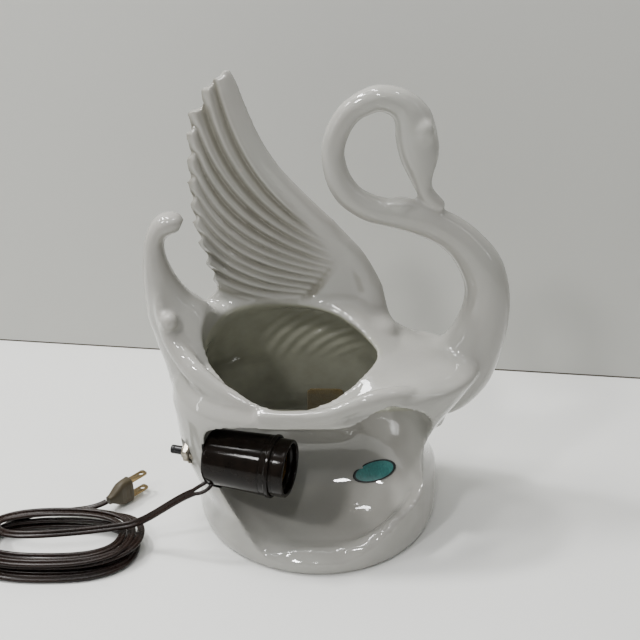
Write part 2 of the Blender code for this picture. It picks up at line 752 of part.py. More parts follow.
def plug_parts():
    """A two-blade plug on its narrow side, its blades pointing away from the hank."""
    frame = bpy.data.objects.new("plug_axis", None)
    frame.location = PLUG_AT
    frame.rotation_euler = (math.radians(90), 0, math.radians(PLUG_YAW))
    bpy.context.scene.collection.objects.link(frame)
    outline = [(0, -3), (9, -8.5), (13, -10), (20, -10), (20, 10), (13, 10), (9, 8.5), (0, 3)]
    body = piece("plug_body", prism("plug_body", outline, -5, 5),
                 material("plug_brown", (0.05, 0.035, 0.02), 0.4), frame)
    soft = body.modifiers.new("soft_edges", "BEVEL")
    soft.width = 1.2 * MM
    soft.segments = 2
    soft.limit_method = "ANGLE"
    for side, label in ((1, "far"), (-1, "near")):
        middle = side * BLADE_SPREAD / 2
        blade = piece("plug_blade_" + label, box_of(
            "plug_blade", (20.3, 35), (middle - 0.75, middle + 0.75), (-3.1, 3.1)),
            material("brass", (0.62, 0.47, 0.22), 0.35, 1), frame)
        hole = round_cutter("blade_hole_" + label, -9, 9, 1.7, frame, 12)
        hole.location = (31 * MM, middle * MM, 0)
        hole.rotation_euler = (math.radians(90), 0, 0)
        subtract(blade, hole)


# ---------------------------------------------------------------- label and patch

def sheet(name, half_wide, half_high, power, steps=4, count=32):
    """A flat disc of rings in its own XY plane; a high power squares it."""
    shape = bmesh.new()
    rows = [[shape.verts.new((0, 0, 0))]]
    for k in range(1, steps + 1):
        share = k / steps
        rows.append([shape.verts.new((share * x * MM, share * y * MM, 0)) for x, y in
                     oval(half_wide, half_wide, half_high, half_high, power, count)])
    for low, high in zip(rows, rows[1:]):
        for i in range(count):
            j = (i + 1) % count
            corners = (low[i % len(low)], high[i], high[j], low[j % len(low)])
            shape.faces.new(list(dict.fromkeys(corners)))
    mesh = bpy.data.meshes.new(name)
    shape.to_mesh(mesh)
    shape.free()
    return mesh


def stuck_on(name, mesh, finish, at, across, normal, ceramic, thickness):
    """A thin sheet laid on the ceramic, a hair clear of the glaze."""
    made = add_object(name, mesh, finish)
    side = Vector(normal).cross(Vector(across)).normalized()
    along = side.cross(Vector(normal)).normalized()
    turn = Matrix((along, side, Vector(normal).normalized())).transposed()
    made.matrix_world = Matrix.Translation(Vector(at) * MM) @ turn.to_4x4()
    lay = made.modifiers.new("lay", "SHRINKWRAP")
    lay.target = ceramic
    lay.wrap_method = "PROJECT"
    lay.use_project_z = True
    lay.use_negative_direction = True
    lay.use_positive_direction = True
    lay.wrap_mode = "ABOVE_SURFACE"
    lay.offset = LOOSE_GAP
    body = made.modifiers.new("thickness", "SOLIDIFY")
    body.thickness = thickness * MM
    body.offset = 1


def stickers(ceramic):
    teal = material("label_teal", (0.06, 0.24, 0.25), 0.5)
    felt = material("patch_brown", (0.09, 0.06, 0.03), 0.8)
    stuck_on("oval_label", sheet("oval_label", 15, 9, 2), teal,
             (41, -17.5, 34), (27, -8, 17.5), (-0.47, -0.72, 0.51), ceramic, 0.3)
    stuck_on("planter_patch", sheet("planter_patch", 14, 14, 9), felt,
             (4, 47.5, 52), (1, 0, 0), (0, -0.97, -0.26), ceramic, 0.8)


def main():
    clear_scene()
    socket = socket_frame()
    ceramic = ceramic_body(socket)
    socket_shells(socket)
    switch_parts(socket)
    leads(socket)
    cord_parts()
    plug_parts()
    stickers(ceramic)


main()
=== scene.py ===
import math

import bmesh
import bpy
import numpy as np
from mathutils import Matrix, Vector
from mathutils.bvhtree import BVHTree


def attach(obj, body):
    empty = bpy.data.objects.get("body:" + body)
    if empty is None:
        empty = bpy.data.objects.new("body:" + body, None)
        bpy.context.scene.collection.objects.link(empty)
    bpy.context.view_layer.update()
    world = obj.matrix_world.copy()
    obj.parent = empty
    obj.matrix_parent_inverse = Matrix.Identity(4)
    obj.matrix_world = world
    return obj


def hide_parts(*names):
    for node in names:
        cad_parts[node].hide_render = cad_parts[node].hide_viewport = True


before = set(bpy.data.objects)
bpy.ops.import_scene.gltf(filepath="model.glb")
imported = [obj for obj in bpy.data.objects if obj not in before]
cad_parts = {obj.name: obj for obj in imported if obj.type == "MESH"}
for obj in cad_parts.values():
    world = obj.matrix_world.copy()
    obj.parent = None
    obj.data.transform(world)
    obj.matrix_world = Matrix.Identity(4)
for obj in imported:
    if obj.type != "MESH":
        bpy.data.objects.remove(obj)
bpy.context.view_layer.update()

scene = bpy.context.scene
mm = 0.001
tau = 2 * math.pi
body = "lamp"
print("frame loaded:", len(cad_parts), "nodes")


# ---- small helpers

def inMm(rows):
    return [tuple(value * mm for value in row) for row in rows]


def ease(value, start, end):
    t = np.clip((value - start) / (end - start), 0, 1)
    return t * t * (3 - 2 * t)


def mix(a, b, share):
    return [p + (q - p) * share for p, q in zip(a, b)]


def smoothRows(rows, steps):  # Catmull-Rom through rows of numbers
    out = []
    for i in range(len(rows) - 1):
        a, b = rows[max(i - 1, 0)], rows[i]
        c, d = rows[i + 1], rows[min(i + 2, len(rows) - 1)]
        for k in range(steps):
            t = k / steps
            out.append([0.5 * (2 * q + (r - p) * t + (2 * p - 5 * q + 4 * r - s) * t * t
                               + (3 * q - p - 3 * r + s) * t ** 3)
                        for p, q, r, s in zip(a, b, c, d)])
    out.append(list(rows[-1]))
    return out


def meshFrom(name, points, faces, sharpest=38):
    mesh = bpy.data.meshes.new(name)
    mesh.from_pydata([tuple(p) for p in points], [], faces)
    mesh.validate()
    shape = bmesh.new()
    shape.from_mesh(mesh)
    bmesh.ops.recalc_face_normals(shape, faces=shape.faces)
    shape.to_mesh(mesh)
    shape.free()
    mesh.shade_smooth()
    mesh.set_sharp_from_angle(angle=math.radians(sharpest))
    return mesh


def addPiece(name, mesh, matrix=None):
    made = bpy.data.objects.new(name, mesh)
    scene.collection.objects.link(made)
    if matrix is not None:
        made.matrix_world = matrix
    return made


def settle(obj):  # keep what the modifiers make
    graph = bpy.context.evaluated_depsgraph_get()
    mesh = bpy.data.meshes.new_from_object(obj.evaluated_get(graph), depsgraph=graph)
    obj.modifiers.clear()
    obj.data = mesh
    return obj


def cutWith(obj, cutter):
    cut = obj.modifiers.new("cut", "BOOLEAN")
    cut.operation = "DIFFERENCE"
    cut.solver = "MANIFOLD"
    cut.object = cutter
    settle(obj)
    bpy.data.objects.remove(cutter, do_unlink=True)


def voxelRemesh(obj, size):
    made = obj.modifiers.new("voxels", "REMESH")
    made.mode = "VOXEL"
    made.voxel_size = size
    settle(obj)


def bevelled(obj, width, segments):
    soft = obj.modifiers.new("softEdges", "BEVEL")
    soft.width = width
    soft.segments = segments
    soft.limit_method = "ANGLE"
    soft.angle_limit = math.radians(35)
    soft.harden_normals = False
    return settle(obj)


def finishPiece(obj, shader, replaced, rides=body):
    obj.data.materials.clear()
    obj.data.materials.append(shader)
    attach(obj, rides)
    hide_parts(*replaced)
    return obj


def ringFaces(rowCount, sides, closedRows=False):
    faces = []
    for i in range(rowCount if closedRows else rowCount - 1):
        low, high = i * sides, ((i + 1) % rowCount) * sides
        for k in range(sides):
            m = (k + 1) % sides
            faces.append((low + k, low + m, high + m, high + k))
    return faces


def turned(name, profile, sides, hollow=False):  # (radius, height) in mm about Z
    points, starts = [], []
    for radius, height in profile:
        starts.append(len(points))
        for k in range(sides if radius else 1):
            turn = tau * k / sides
            points.append((radius * mm * math.cos(turn), radius * mm * math.sin(turn), height * mm))
    faces = []
    pairs = [(i, i + 1) for i in range(len(profile) - 1)] + ([(len(profile) - 1, 0)] if hollow else [])
    for i, j in pairs:
        for k in range(sides):
            m = (k + 1) % sides
            ring = []
            for row, step in ((i, k), (i, m), (j, m), (j, k)):
                index = starts[row] + (step if profile[row][0] else 0)
                if index not in ring:
                    ring.append(index)
            if len(ring) > 2:
                faces.append(ring)
    return meshFrom(name, points, faces)


def rounded(profile, radius, steps):  # a profile with its inner corners rounded
    out = [profile[0]]
    for before, corner, after in zip(profile, profile[1:], profile[2:]):
        a, b, c = Vector(before), Vector(corner), Vector(after)
        reach = min(radius, (a - b).length * 0.45, (c - b).length * 0.45)
        start, end = b + (a - b).normalized() * reach, b + (c - b).normalized() * reach
        for k in range(steps + 1):
            t = k / steps
            point = start * (1 - t) ** 2 + b * 2 * t * (1 - t) + end * t * t
            out.append((max(point.x, 0), point.y))
    return out + [profile[-1]]


def loft(name, rings):
    sides = len(rings[0])
    points = [p for ring in rings for p in ring]
    faces = ringFaces(len(rings), sides)
    for start in (0, len(points) - sides):
        middle = len(points)
        points.append(tuple(sum(axis) / sides for axis in zip(*rings[0 if start == 0 else -1])))
        faces += [(start + k, start + (k + 1) % sides, middle) for k in range(sides)]
    return meshFrom(name, points, faces)


def ovalRing(left, right, near, far, bulge, count, corner=None, farPowers=None):
    ring = []
    for i in range(count):
        c, s = math.cos(tau * i / count), math.sin(tau * i / count)
        power = 2 / bulge
        if farPowers and s > 0:
            power = 2 / farPowers[int(c > 0)]
        if corner and c < 0 and s < 0:
            power = 2 / corner
        ring.append((math.copysign(abs(c) ** power * (right if c > 0 else left), c),
                     math.copysign(abs(s) ** power * (far if s > 0 else near), s)))
    return ring


def sweep(name, stations, sides):  # x, y, z, width in the path's plane, width across it
    rings = []
    for i, (x, y, z, wide, deep) in enumerate(stations):
        a, b = stations[max(i - 1, 0)], stations[min(i + 1, len(stations) - 1)]
        along = Vector([q - p for p, q in zip(a[:3], b[:3])]).normalized()
        side = along.cross(Vector((0, 1, 0))).normalized()
        across = side.cross(along).normalized()
        rings.append([Vector((x, y, z)) + side * (math.cos(tau * k / sides) * wide / 2)
                      + across * (math.sin(tau * k / sides) * deep / 2) for k in range(sides)])
    return loft(name, rings)


def meshOf(name, shape):
    mesh = bpy.data.meshes.new(name)
    shape.to_mesh(mesh)
    shape.free()
    return mesh


def egg(name, at, radii):
    shape = bmesh.new()
    matrix = Matrix.Translation(Vector(at) * mm) @ Matrix.Diagonal((*[r * mm for r in radii], 1))
    bmesh.ops.create_uvsphere(shape, u_segments=32, v_segments=20, radius=1, matrix=matrix)
    return meshOf(name, shape)


def joined(name, meshes):
    shape = bmesh.new()
    for mesh in meshes:
        shape.from_mesh(mesh)
    return meshOf(name, shape)


# ---- camera, lights and the table

viewpoint = {"place": (0, -0.542, 0.410), "pitch": 64, "lens": 50, "sensor": 36}
roomGlow = {"colour": (0.93, 0.96, 1.0, 1), "strength": 0.165}
lights = [  # name, place, aims at, size, length of a strip lamp, watts
    ("overheadSoft", (-0.2, 0.05, 1.5), (0, 0, 0.1), 0.7, None, 1.6),
    ("farLeftLamp", (-1.1, 0.05, 1.3), (0, 0, 0.1), 0.2, None, 5.0),
    ("leftLamp", (-0.72, 0.14, 1.42), (0, 0, 0.1), 0.18, None, 13.0),
    ("leftLampPair", (-0.64, -0.1, 1.42), (0, 0, 0.1), 0.16, None, 3.0),
    ("backLamp", (-0.3, 0.16, 1.5), (0, 0, 0.1), 0.2, None, 4.5),
    ("backLampPair", (-0.18, -0.08, 1.5), (0, 0, 0.1), 0.16, None, 2.5),
    ("frontLamp", (-0.75, -0.8, 1.25), (0, 0, 0.08), 0.16, None, 8.0),
    ("frontLampPair", (-0.15, -1.0, 1.3), (0, 0, 0.08), 0.12, None, 3.0),
    ("rightLamp", (0.5, -0.2, 1.5), (0, 0, 0.1), 0.14, None, 1.6),
    ("topStrip", (-0.1, -0.42, 1.5), (0, 0, 0.1), 0.03, 1.3, 1.0),
    ("topStripPair", (0.0, -0.2, 1.5), (0, 0, 0.1), 0.02, 1.3, 0.8),
    ("leftStrip", (-1.15, -0.5, 0.75), (0, 0, 0.15), 0.03, 0.9, 1.0),
    ("rightStrip", (1.1, -0.45, 0.85), (0, 0, 0.15), 0.03, 0.9, 0.8),
]


def setCamera():
    data = bpy.data.cameras.new("camera")
    data.lens = viewpoint["lens"]
    data.sensor_width = viewpoint["sensor"]
    data.clip_start = 0.01
    camera = bpy.data.objects.new("camera", data)
    camera.location = viewpoint["place"]
    camera.rotation_euler = (math.radians(viewpoint["pitch"]), 0, 0)
    scene.collection.objects.link(camera)
    scene.camera = camera


def setLights():
    for name, place, target, size, strip, watts in lights:
        data = bpy.data.lights.new(name, "AREA")
        data.shape = "RECTANGLE" if strip else "DISK"
        data.size = size
        if strip:
            flat = name.startswith("top")  # the side strips stand upright
            data.size, data.size_y = (strip, size) if flat else (size, strip)
        data.energy = watts
        lamp = bpy.data.objects.new(name, data)
        lamp.location = place
        lamp.visible_glossy = name != "overheadSoft"  # only the small lamps show in the glaze
        lamp.rotation_mode = "QUATERNION"
        lamp.rotation_quaternion = (Vector(target) - Vector(place)).to_track_quat("-Z", "Y")
        scene.collection.objects.link(lamp)
    world = bpy.data.worlds.new("softRoom")
    world.use_nodes = True
    background = world.node_tree.nodes["Background"]
    background.inputs["Color"].default_value = roomGlow["colour"]
    background.inputs["Strength"].default_value = roomGlow["strength"]
    scene.world = world


# foot is the colour of a thin strip of painted shade along the wall's foot
room = {
    "wallAt": (0, 0.212, 0), "wallTurn": -7.2, "half": 3.0, "footHigh": 0.0016, "footProud": 0.0005,
    "tableDrop": 0.0004, "table": (0.83, 0.83, 0.8), "wall": (0.5, 0.5, 0.47), "foot": (0.07, 0.06, 0.045),
}


def stageSheet(name, colour, roughness, seeThroughBack=False):
    shader = bpy.data.materials.new(name)
    shader.use_nodes = True
    tree = shader.node_tree
    surface = tree.nodes["Principled BSDF"]
    surface.inputs["Base Color"].default_value = (*colour, 1)
    surface.inputs["Roughness"].default_value = roughness
    if seeThroughBack:
        clear = tree.nodes.new("ShaderNodeBsdfTransparent")
        blend = tree.nodes.new("ShaderNodeMixShader")
        facing = tree.nodes.new("ShaderNodeNewGeometry")
        tree.links.new(facing.outputs["Backfacing"], blend.inputs[0])
        tree.links.new(surface.outputs[0], blend.inputs[1])
        tree.links.new(clear.outputs[0], blend.inputs[2])
        tree.links.new(blend.outputs[0], tree.nodes["Material Output"].inputs["Surface"])
    return shader


def uprightSheet(name, place, high, shader):
    half = room["half"]
    sheet = addPiece(name, bpy.data.meshes.new(name))
    sheet.data.from_pydata([(-half, 0, 0), (half, 0, 0), (half, 0, high), (-half, 0, high)], [],
                           [(0, 1, 2, 3)])
    sheet.location = place
    sheet.rotation_euler = (0, 0, math.radians(room["wallTurn"]))
    sheet.data.materials.append(shader)
    return sheet


def setStage():
    half = room["half"]
    floor = addPiece("floor", meshFrom("floor", [(-half, -half, 0), (half, -half, 0),
                                                 (half, half, 0), (-half, half, 0)], [(0, 1, 2, 3)]))
    floor.location = (0, 0, -room["tableDrop"])
    floor.data.materials.append(stageSheet("paleTable", room["table"], 0.45))
    wall = uprightSheet("wall", room["wallAt"], half, stageSheet("greyWall", room["wall"], 0.7, True))
    # a thin dark strip along the wall's foot: painted shade where the wall meets the table
    footAt = (0, room["wallAt"][1] - room["footProud"], 0)
    foot = uprightSheet("gapShadeStrip", footAt, room["footHigh"],
                        stageSheet("paintedGapShade", room["foot"], 0.8, True))


# ---- shader groups and materials

def newGroup(name, inputs, outputs):
    group = bpy.data.node_groups.new(name, "ShaderNodeTree")
    for label, kind, value in inputs:
        given = group.interface.new_socket(name=label, in_out="INPUT", socket_type=kind)
        given.default_value = value
    for label, kind in outputs:
        group.interface.new_socket(name=label, in_out="OUTPUT", socket_type=kind)
    return group, group.nodes.new("NodeGroupInput"), group.nodes.new("NodeGroupOutput")


def noiseNode(tree, detail, roughness=0.5):
    noise = tree.nodes.new("ShaderNodeTexNoise")
    noise.inputs["Detail"].default_value = detail
    noise.inputs["Roughness"].default_value = roughness
    return noise


def mathNode(tree, operation, a, b, clamp=False):
    node = tree.nodes.new("ShaderNodeMath")
    node.operation = operation
    node.use_clamp = clamp
    for slot, value in zip(node.inputs, (a, b)):
        if isinstance(value, (int, float)):
            slot.default_value = value
        else:
            tree.links.new(value, slot)
    return node.outputs[0]


def mixColour(tree, share, a, b):
    node = tree.nodes.new("ShaderNodeMix")
    node.data_type = "RGBA"
    for slot, value in ((node.inputs[0], share), (node.inputs[6], a), (node.inputs[7], b)):
        if isinstance(value, tuple):
            slot.default_value = (*value, 1)
        elif isinstance(value, (int, float)):
            slot.default_value = value
        else:
            tree.links.new(value, slot)
    return node.outputs[2]


def makeClouding():  # soft patches: a mask between two sizes of noise
    group, given, result = newGroup("clouding", [
        ("Scale", "NodeSocketFloat", 20.0), ("Stretch", "NodeSocketVector", (1, 1, 1)),
        ("Contrast", "NodeSocketFloat", 1.5)], [("Mask", "NodeSocketFloat")])
    place = group.nodes.new("ShaderNodeTexCoord")
    stretch = group.nodes.new("ShaderNodeVectorMath")
    stretch.operation = "MULTIPLY"
    group.links.new(place.outputs["Object"], stretch.inputs[0])
    group.links.new(given.outputs["Stretch"], stretch.inputs[1])
    noise = noiseNode(group, 4.0, 0.55)
    group.links.new(stretch.outputs[0], noise.inputs["Vector"])
    group.links.new(given.outputs["Scale"], noise.inputs["Scale"])
    centred = mathNode(group, "SUBTRACT", noise.outputs["Fac"], 0.5)
    sharper = mathNode(group, "MULTIPLY", centred, given.outputs["Contrast"])
    group.links.new(mathNode(group, "ADD", sharper, 0.5, True), result.inputs["Mask"])
    return group


def makeRubbedEdges():  # mask where corners stick out, broken up by noise
    group, given, result = newGroup("rubbedEdges", [
        ("Reach", "NodeSocketFloat", 12.0), ("Breakup", "NodeSocketFloat", 300.0)],
        [("Mask", "NodeSocketFloat")])
    geometry = group.nodes.new("ShaderNodeNewGeometry")
    out = mathNode(group, "SUBTRACT", geometry.outputs["Pointiness"], 0.52)
    strong = mathNode(group, "MULTIPLY", out, given.outputs["Reach"], True)
    noise = noiseNode(group, 3.0)
    group.links.new(given.outputs["Breakup"], noise.inputs["Scale"])
    place = group.nodes.new("ShaderNodeTexCoord")
    group.links.new(place.outputs["Object"], noise.inputs["Vector"])
    group.links.new(mathNode(group, "MULTIPLY", strong, noise.outputs["Fac"], True),
                    result.inputs["Mask"])
    return group


def makeDust():  # mask of dust on what faces up
    group, given, result = newGroup("settledDust", [
        ("Amount", "NodeSocketFloat", 0.2), ("Scale", "NodeSocketFloat", 400.0)],
        [("Mask", "NodeSocketFloat")])
    geometry = group.nodes.new("ShaderNodeNewGeometry")
    split = group.nodes.new("ShaderNodeSeparateXYZ")
    group.links.new(geometry.outputs["Normal"], split.inputs[0])
    up = mathNode(group, "MULTIPLY", mathNode(group, "MAXIMUM", split.outputs["Z"], 0.0),
                  given.outputs["Amount"])
    noise = noiseNode(group, 6.0, 0.7)
    group.links.new(given.outputs["Scale"], noise.inputs["Scale"])
    place = group.nodes.new("ShaderNodeTexCoord")
    group.links.new(place.outputs["Object"], noise.inputs["Vector"])
    group.links.new(mathNode(group, "MULTIPLY", up, noise.outputs["Fac"], True),
                    result.inputs["Mask"])
    return group


clouding, rubbedEdges, settledDust = makeClouding(), makeRubbedEdges(), makeDust()


def useGroup(tree, group, **values):
    node = tree.nodes.new("ShaderNodeGroup")
    node.node_tree = group
    for label, value in values.items():
        node.inputs[label].default_value = value
    return node.outputs["Mask"]


def newShader(name):
    shader = bpy.data.materials.new(name)
    shader.use_nodes = True
    return shader, shader.node_tree, shader.node_tree.nodes["Principled BSDF"]


def spread(tree, mask, low, high):
    node = tree.nodes.new("ShaderNodeMapRange")
    node.inputs["To Min"].default_value = low
    node.inputs["To Max"].default_value = high
    tree.links.new(mask, node.inputs["Value"])
    return node.outputs[0]


def bump(tree, surface, height, strength, distance):
    node = tree.nodes.new("ShaderNodeBump")
    node.inputs["Strength"].default_value = strength
    node.inputs["Distance"].default_value = distance
    tree.links.new(height, node.inputs["Height"])
    tree.links.new(node.outputs[0], surface.inputs["Normal"])


def spotMask(tree, place, radius, softness):  # 1 inside a small ball in the object's own space
    coords = tree.nodes.new("ShaderNodeTexCoord")
    gap = tree.nodes.new("ShaderNodeVectorMath")
    gap.operation = "DISTANCE"
    gap.inputs[1].default_value = place
    tree.links.new(coords.outputs["Object"], gap.inputs[0])
    node = tree.nodes.new("ShaderNodeMapRange")
    node.interpolation_type = "SMOOTHSTEP"
    node.inputs["From Min"].default_value = radius
    node.inputs["From Max"].default_value = radius * (1 - softness)
    tree.links.new(gap.outputs["Value"], node.inputs["Value"])
    return node.outputs[0]


# the pooled colour is painted shade in the wing's feather valleys and over the fluted wing, partly glaze
# pooled there
glazeLook = {
    "white": (0.35, 0.35, 0.32), "pink": (0.335, 0.31, 0.285), "pooledGlazeAndShade": (0.20, 0.19, 0.155),
    "inside": (0.29, 0.29, 0.235), "roughness": (0.02, 0.05), "pinhole": (0.02, 0.015, 0.012),
    "smudge": (0.42, 0.36, 0.30), "dust": (0.55, 0.53, 0.48),
}


def glazeShader():
    look = glazeLook
    shader, tree, surface = newShader("whiteGlaze")
    patches = useGroup(tree, clouding, Scale=16.0, Contrast=2.2)
    colour = mixColour(tree, spread(tree, patches, 0.0, 0.55), look["white"], look["pink"])
    # painted shade: darker in the feather valleys and across the fluted wing, partly glaze pooling
    hollow = tree.nodes.new("ShaderNodeAttribute")
    hollow.attribute_name = "hollow"
    colour = mixColour(tree, hollow.outputs["Fac"], colour, look["pooledGlazeAndShade"])
    # the planter's inside is coloured darker and greener than the outer glaze, in lighter and darker patches
    inside = tree.nodes.new("ShaderNodeAttribute")
    inside.attribute_name = "inside"
    insidePatches = useGroup(tree, clouding, Scale=45.0, Contrast=2.5)
    dim = mixColour(tree, insidePatches, look["inside"], tuple(c * 1.35 for c in look["inside"]))
    colour = mixColour(tree, inside.outputs["Fac"], colour, dim)
    smudge = spotMask(tree, (-0.0505, 0.012, 0.2465), 0.003, 0.8)
    colour = mixColour(tree, smudge, colour, look["smudge"])
    pinhole = spotMask(tree, (-0.0437, 0.012, 0.2552), 0.0011, 0.35)
    colour = mixColour(tree, pinhole, colour, look["pinhole"])
    dust = useGroup(tree, settledDust, Amount=0.16, Scale=260.0)
    colour = mixColour(tree, dust, colour, look["dust"])
    tree.links.new(colour, surface.inputs["Base Color"])
    streaks = useGroup(tree, clouding, Scale=70.0, Contrast=1.4)
    tree.links.new(spread(tree, streaks, *look["roughness"]), surface.inputs["Roughness"])
    ripple = noiseNode(tree, 1.5, 0.4)
    ripple.inputs["Scale"].default_value = 85.0
    place = tree.nodes.new("ShaderNodeTexCoord")
    tree.links.new(place.outputs["Object"], ripple.inputs["Vector"])
    bump(tree, surface, ripple.outputs["Fac"], 0.22, 0.0012)
    surface.inputs["IOR"].default_value = 1.52
    surface.inputs["Coat Weight"].default_value = 0.3
    surface.inputs["Coat Roughness"].default_value = 0.02
    return shader


phenolicLook = {"base": (0.003, 0.0024, 0.002), "worn": (0.02, 0.013, 0.009),
                "dust": (0.12, 0.10, 0.08), "roughness": (0.07, 0.14)}


def phenolicShader():
    look = phenolicLook
    shader, tree, surface = newShader("darkPhenolic")
    grain = useGroup(tree, clouding, Scale=120.0, Stretch=(0.3, 1, 1), Contrast=2.0)
    colour = mixColour(tree, spread(tree, grain, 0, 0.35), look["base"], look["worn"])
    edges = useGroup(tree, rubbedEdges, Reach=14.0, Breakup=500.0)
    colour = mixColour(tree, edges, colour, look["worn"])
    dust = useGroup(tree, settledDust, Amount=0.03, Scale=900.0)
    colour = mixColour(tree, dust, colour, look["dust"])
    tree.links.new(colour, surface.inputs["Base Color"])
    tree.links.new(spread(tree, grain, *look["roughness"]), surface.inputs["Roughness"])
    scratches = useGroup(tree, clouding, Scale=900.0, Stretch=(0.08, 1, 1), Contrast=3.0)
    bump(tree, surface, scratches, 0.08, 0.0002)
    surface.inputs["Specular IOR Level"].default_value = 0.15
    return shader


def metalShader(name, bright, dull, roughness):
    speckle = 500.0
    shader, tree, surface = newShader(name)
    tarnish = useGroup(tree, clouding, Scale=speckle, Contrast=2.2)
    colour = mixColour(tree, tarnish, bright, dull)
    edges = useGroup(tree, rubbedEdges, Reach=10.0, Breakup=800.0)
    colour = mixColour(tree, edges, colour, bright)
    tree.links.new(colour, surface.inputs["Base Color"])
    tree.links.new(spread(tree, tarnish, *roughness), surface.inputs["Roughness"])
    fine = useGroup(tree, clouding, Scale=speckle * 4, Contrast=2.0)
    bump(tree, surface, fine, 0.12, 0.0001)
    surface.inputs["Metallic"].default_value = 1.0
    return shader


def plasticShader(name, base, worn, roughness, grainScale=300.0):
    shader, tree, surface = newShader(name)
    patches = useGroup(tree, clouding, Scale=grainScale * 0.2, Contrast=2.0)
    colour = mixColour(tree, patches, base, worn)
    dust = useGroup(tree, settledDust, Amount=0.025, Scale=grainScale * 2)
    colour = mixColour(tree, dust, colour, (0.25, 0.22, 0.19))
    tree.links.new(colour, surface.inputs["Base Color"])
    grain = useGroup(tree, clouding, Scale=grainScale * 4, Contrast=1.6)
    tree.links.new(spread(tree, grain, *roughness), surface.inputs["Roughness"])
    bump(tree, surface, grain, 0.15, 0.0002)
    surface.inputs["Specular IOR Level"].default_value = 0.24
    return shader


def labelShader():  # a teal oval with a dark rule round it
    shader, tree, surface = newShader("labelPaper")
    edge = tree.nodes.new("ShaderNodeAttribute")
    edge.attribute_name = "rim"
    mottled = useGroup(tree, clouding, Scale=600.0, Contrast=2.4)
    teal = mixColour(tree, mottled, (0.028, 0.155, 0.150), (0.05, 0.225, 0.21))
    hatch = useGroup(tree, clouding, Scale=1500.0, Stretch=(1, 0.15, 1), Contrast=3.0)
    teal = mixColour(tree, spread(tree, hatch, 0, 0.5), teal, (0.02, 0.09, 0.085))
    inked = tree.nodes.new("ShaderNodeMapRange")
    inked.interpolation_type = "SMOOTHSTEP"
    inked.inputs["From Min"].default_value = 0.86
    inked.inputs["From Max"].default_value = 0.9
    tree.links.new(edge.outputs["Fac"], inked.inputs["Value"])
    colour = mixColour(tree, inked.outputs[0], teal, (0.006, 0.01, 0.011))
    tree.links.new(colour, surface.inputs["Base Color"])
    tree.links.new(spread(tree, mottled, 0.35, 0.6), surface.inputs["Roughness"])
    bump(tree, surface, mottled, 0.2, 0.0001)
    return shader


def feltShader():
    shader, tree, surface = newShader("brownFelt")
    fibres = useGroup(tree, clouding, Scale=1800.0, Stretch=(1, 0.3, 1), Contrast=3.0)
    worn = useGroup(tree, clouding, Scale=120.0, Contrast=2.5)
    colour = mixColour(tree, fibres, (0.16, 0.11, 0.035), (0.26, 0.19, 0.07))
    colour = mixColour(tree, spread(tree, worn, 0, 0.6), colour, (0.24, 0.22, 0.13))
    tree.links.new(colour, surface.inputs["Base Color"])
    surface.inputs["Roughness"].default_value = 0.9
    surface.inputs["Sheen Weight"].default_value = 0.4
    bump(tree, surface, fibres, 0.6, 0.0004)
    return shader


whiteGlaze = glazeShader()
darkPhenolic = phenolicShader()
oldBrass = metalShader("oldBrass", (0.30, 0.22, 0.11), (0.12, 0.085, 0.04), (0.22, 0.42))
dullNickel = metalShader("dullNickel", (0.40, 0.37, 0.31), (0.2, 0.175, 0.135), (0.22, 0.42))
plainSteel = metalShader("plainSteel", (0.60, 0.59, 0.57), (0.34, 0.33, 0.31), (0.25, 0.4))
buttonBlack = plasticShader("buttonBlack", (0.008, 0.008, 0.009), (0.02, 0.02, 0.02), (0.16, 0.28))
cordBrown = plasticShader("cordBrown", (0.006, 0.0028, 0.0018), (0.015, 0.0065, 0.004), (0.22, 0.36), 200.0)
plugOlive = plasticShader("plugOlive", (0.045, 0.036, 0.02), (0.075, 0.06, 0.036), (0.38, 0.55), 400.0)
labelPaper = labelShader()
brownFelt = feltShader()
print("materials made")


# ---- the swan: one slip-cast piece

swan = {
    "voxel": 1.6 * mm, "rings": 84, "cavityRings": 72,
    "rimNear": (-65 * mm, 115 * mm), "rimSlope": 0.475, "wingY": 20 * mm, "wall": 5.5 * mm,
    "fluteDepth": 2.5 * mm, "nutSeat": -12.6, "bore": 5.4, "nutSeatRadius": 8.3,
    "barrelSeatRadius": 20, "groundCut": 0.4,
}

wallRows = inMm([  # height, left, right, near, far reach
    (-2, -85, 82.5, -85, 68), (4, -88, 85, -88, 71), (14, -88, 85.5, -88, 70), (28, -87, 85, -86, 66),
    (36, -89, 83.5, -84.5, 63), (44, -92, 79, -82, 59), (54, -94.5, 76.5, -79.5, 55),
    (64, -97, 80, -77, 52), (76, -98, 89, -75, 50),
    (90, -99, 101, -74, 49), (103, -101, 110, -72, 48)])
neckRows = inMm([  # x, y, z, width, depth
    (70, -2, 92, 40, 50), (84, -1, 101, 50, 54), (97, 0, 112.5, 48, 48), (105, 0, 127, 40, 40),
    (110, 0, 143, 35, 35), (112, 0, 160, 31, 31), (110, 0, 175, 29, 28), (105, 0, 187, 28, 26),
    (96, 0, 199, 25, 24), (86, 0, 208, 23, 22), (75, 0, 214, 22, 21), (62, 0, 219, 22, 20),
    (46, 0, 222, 19, 18), (33, 0, 225, 18, 17), (22, 0, 231, 17, 16), (16, 0, 237, 17, 16),
    (11, 0, 246, 16, 16), (8, 0, 259, 15, 15), (9, 0, 269, 15, 15), (13, 0, 279, 15, 15),
    (19, 0, 287, 15, 15), (29, 0, 293, 16, 16), (38, 0, 295, 16.5, 17), (50, 0, 291, 19, 19),
    (57, 0, 282, 24, 22), (60, 0, 271, 27, 24), (62, 0, 258, 24, 22), (63.5, 0, 247, 16, 18),
    (65.5, -0.5, 239, 11, 14), (69, -1, 233, 11, 13.5), (74, -2, 229.5, 9, 12), (79, -3, 227, 5, 8)])
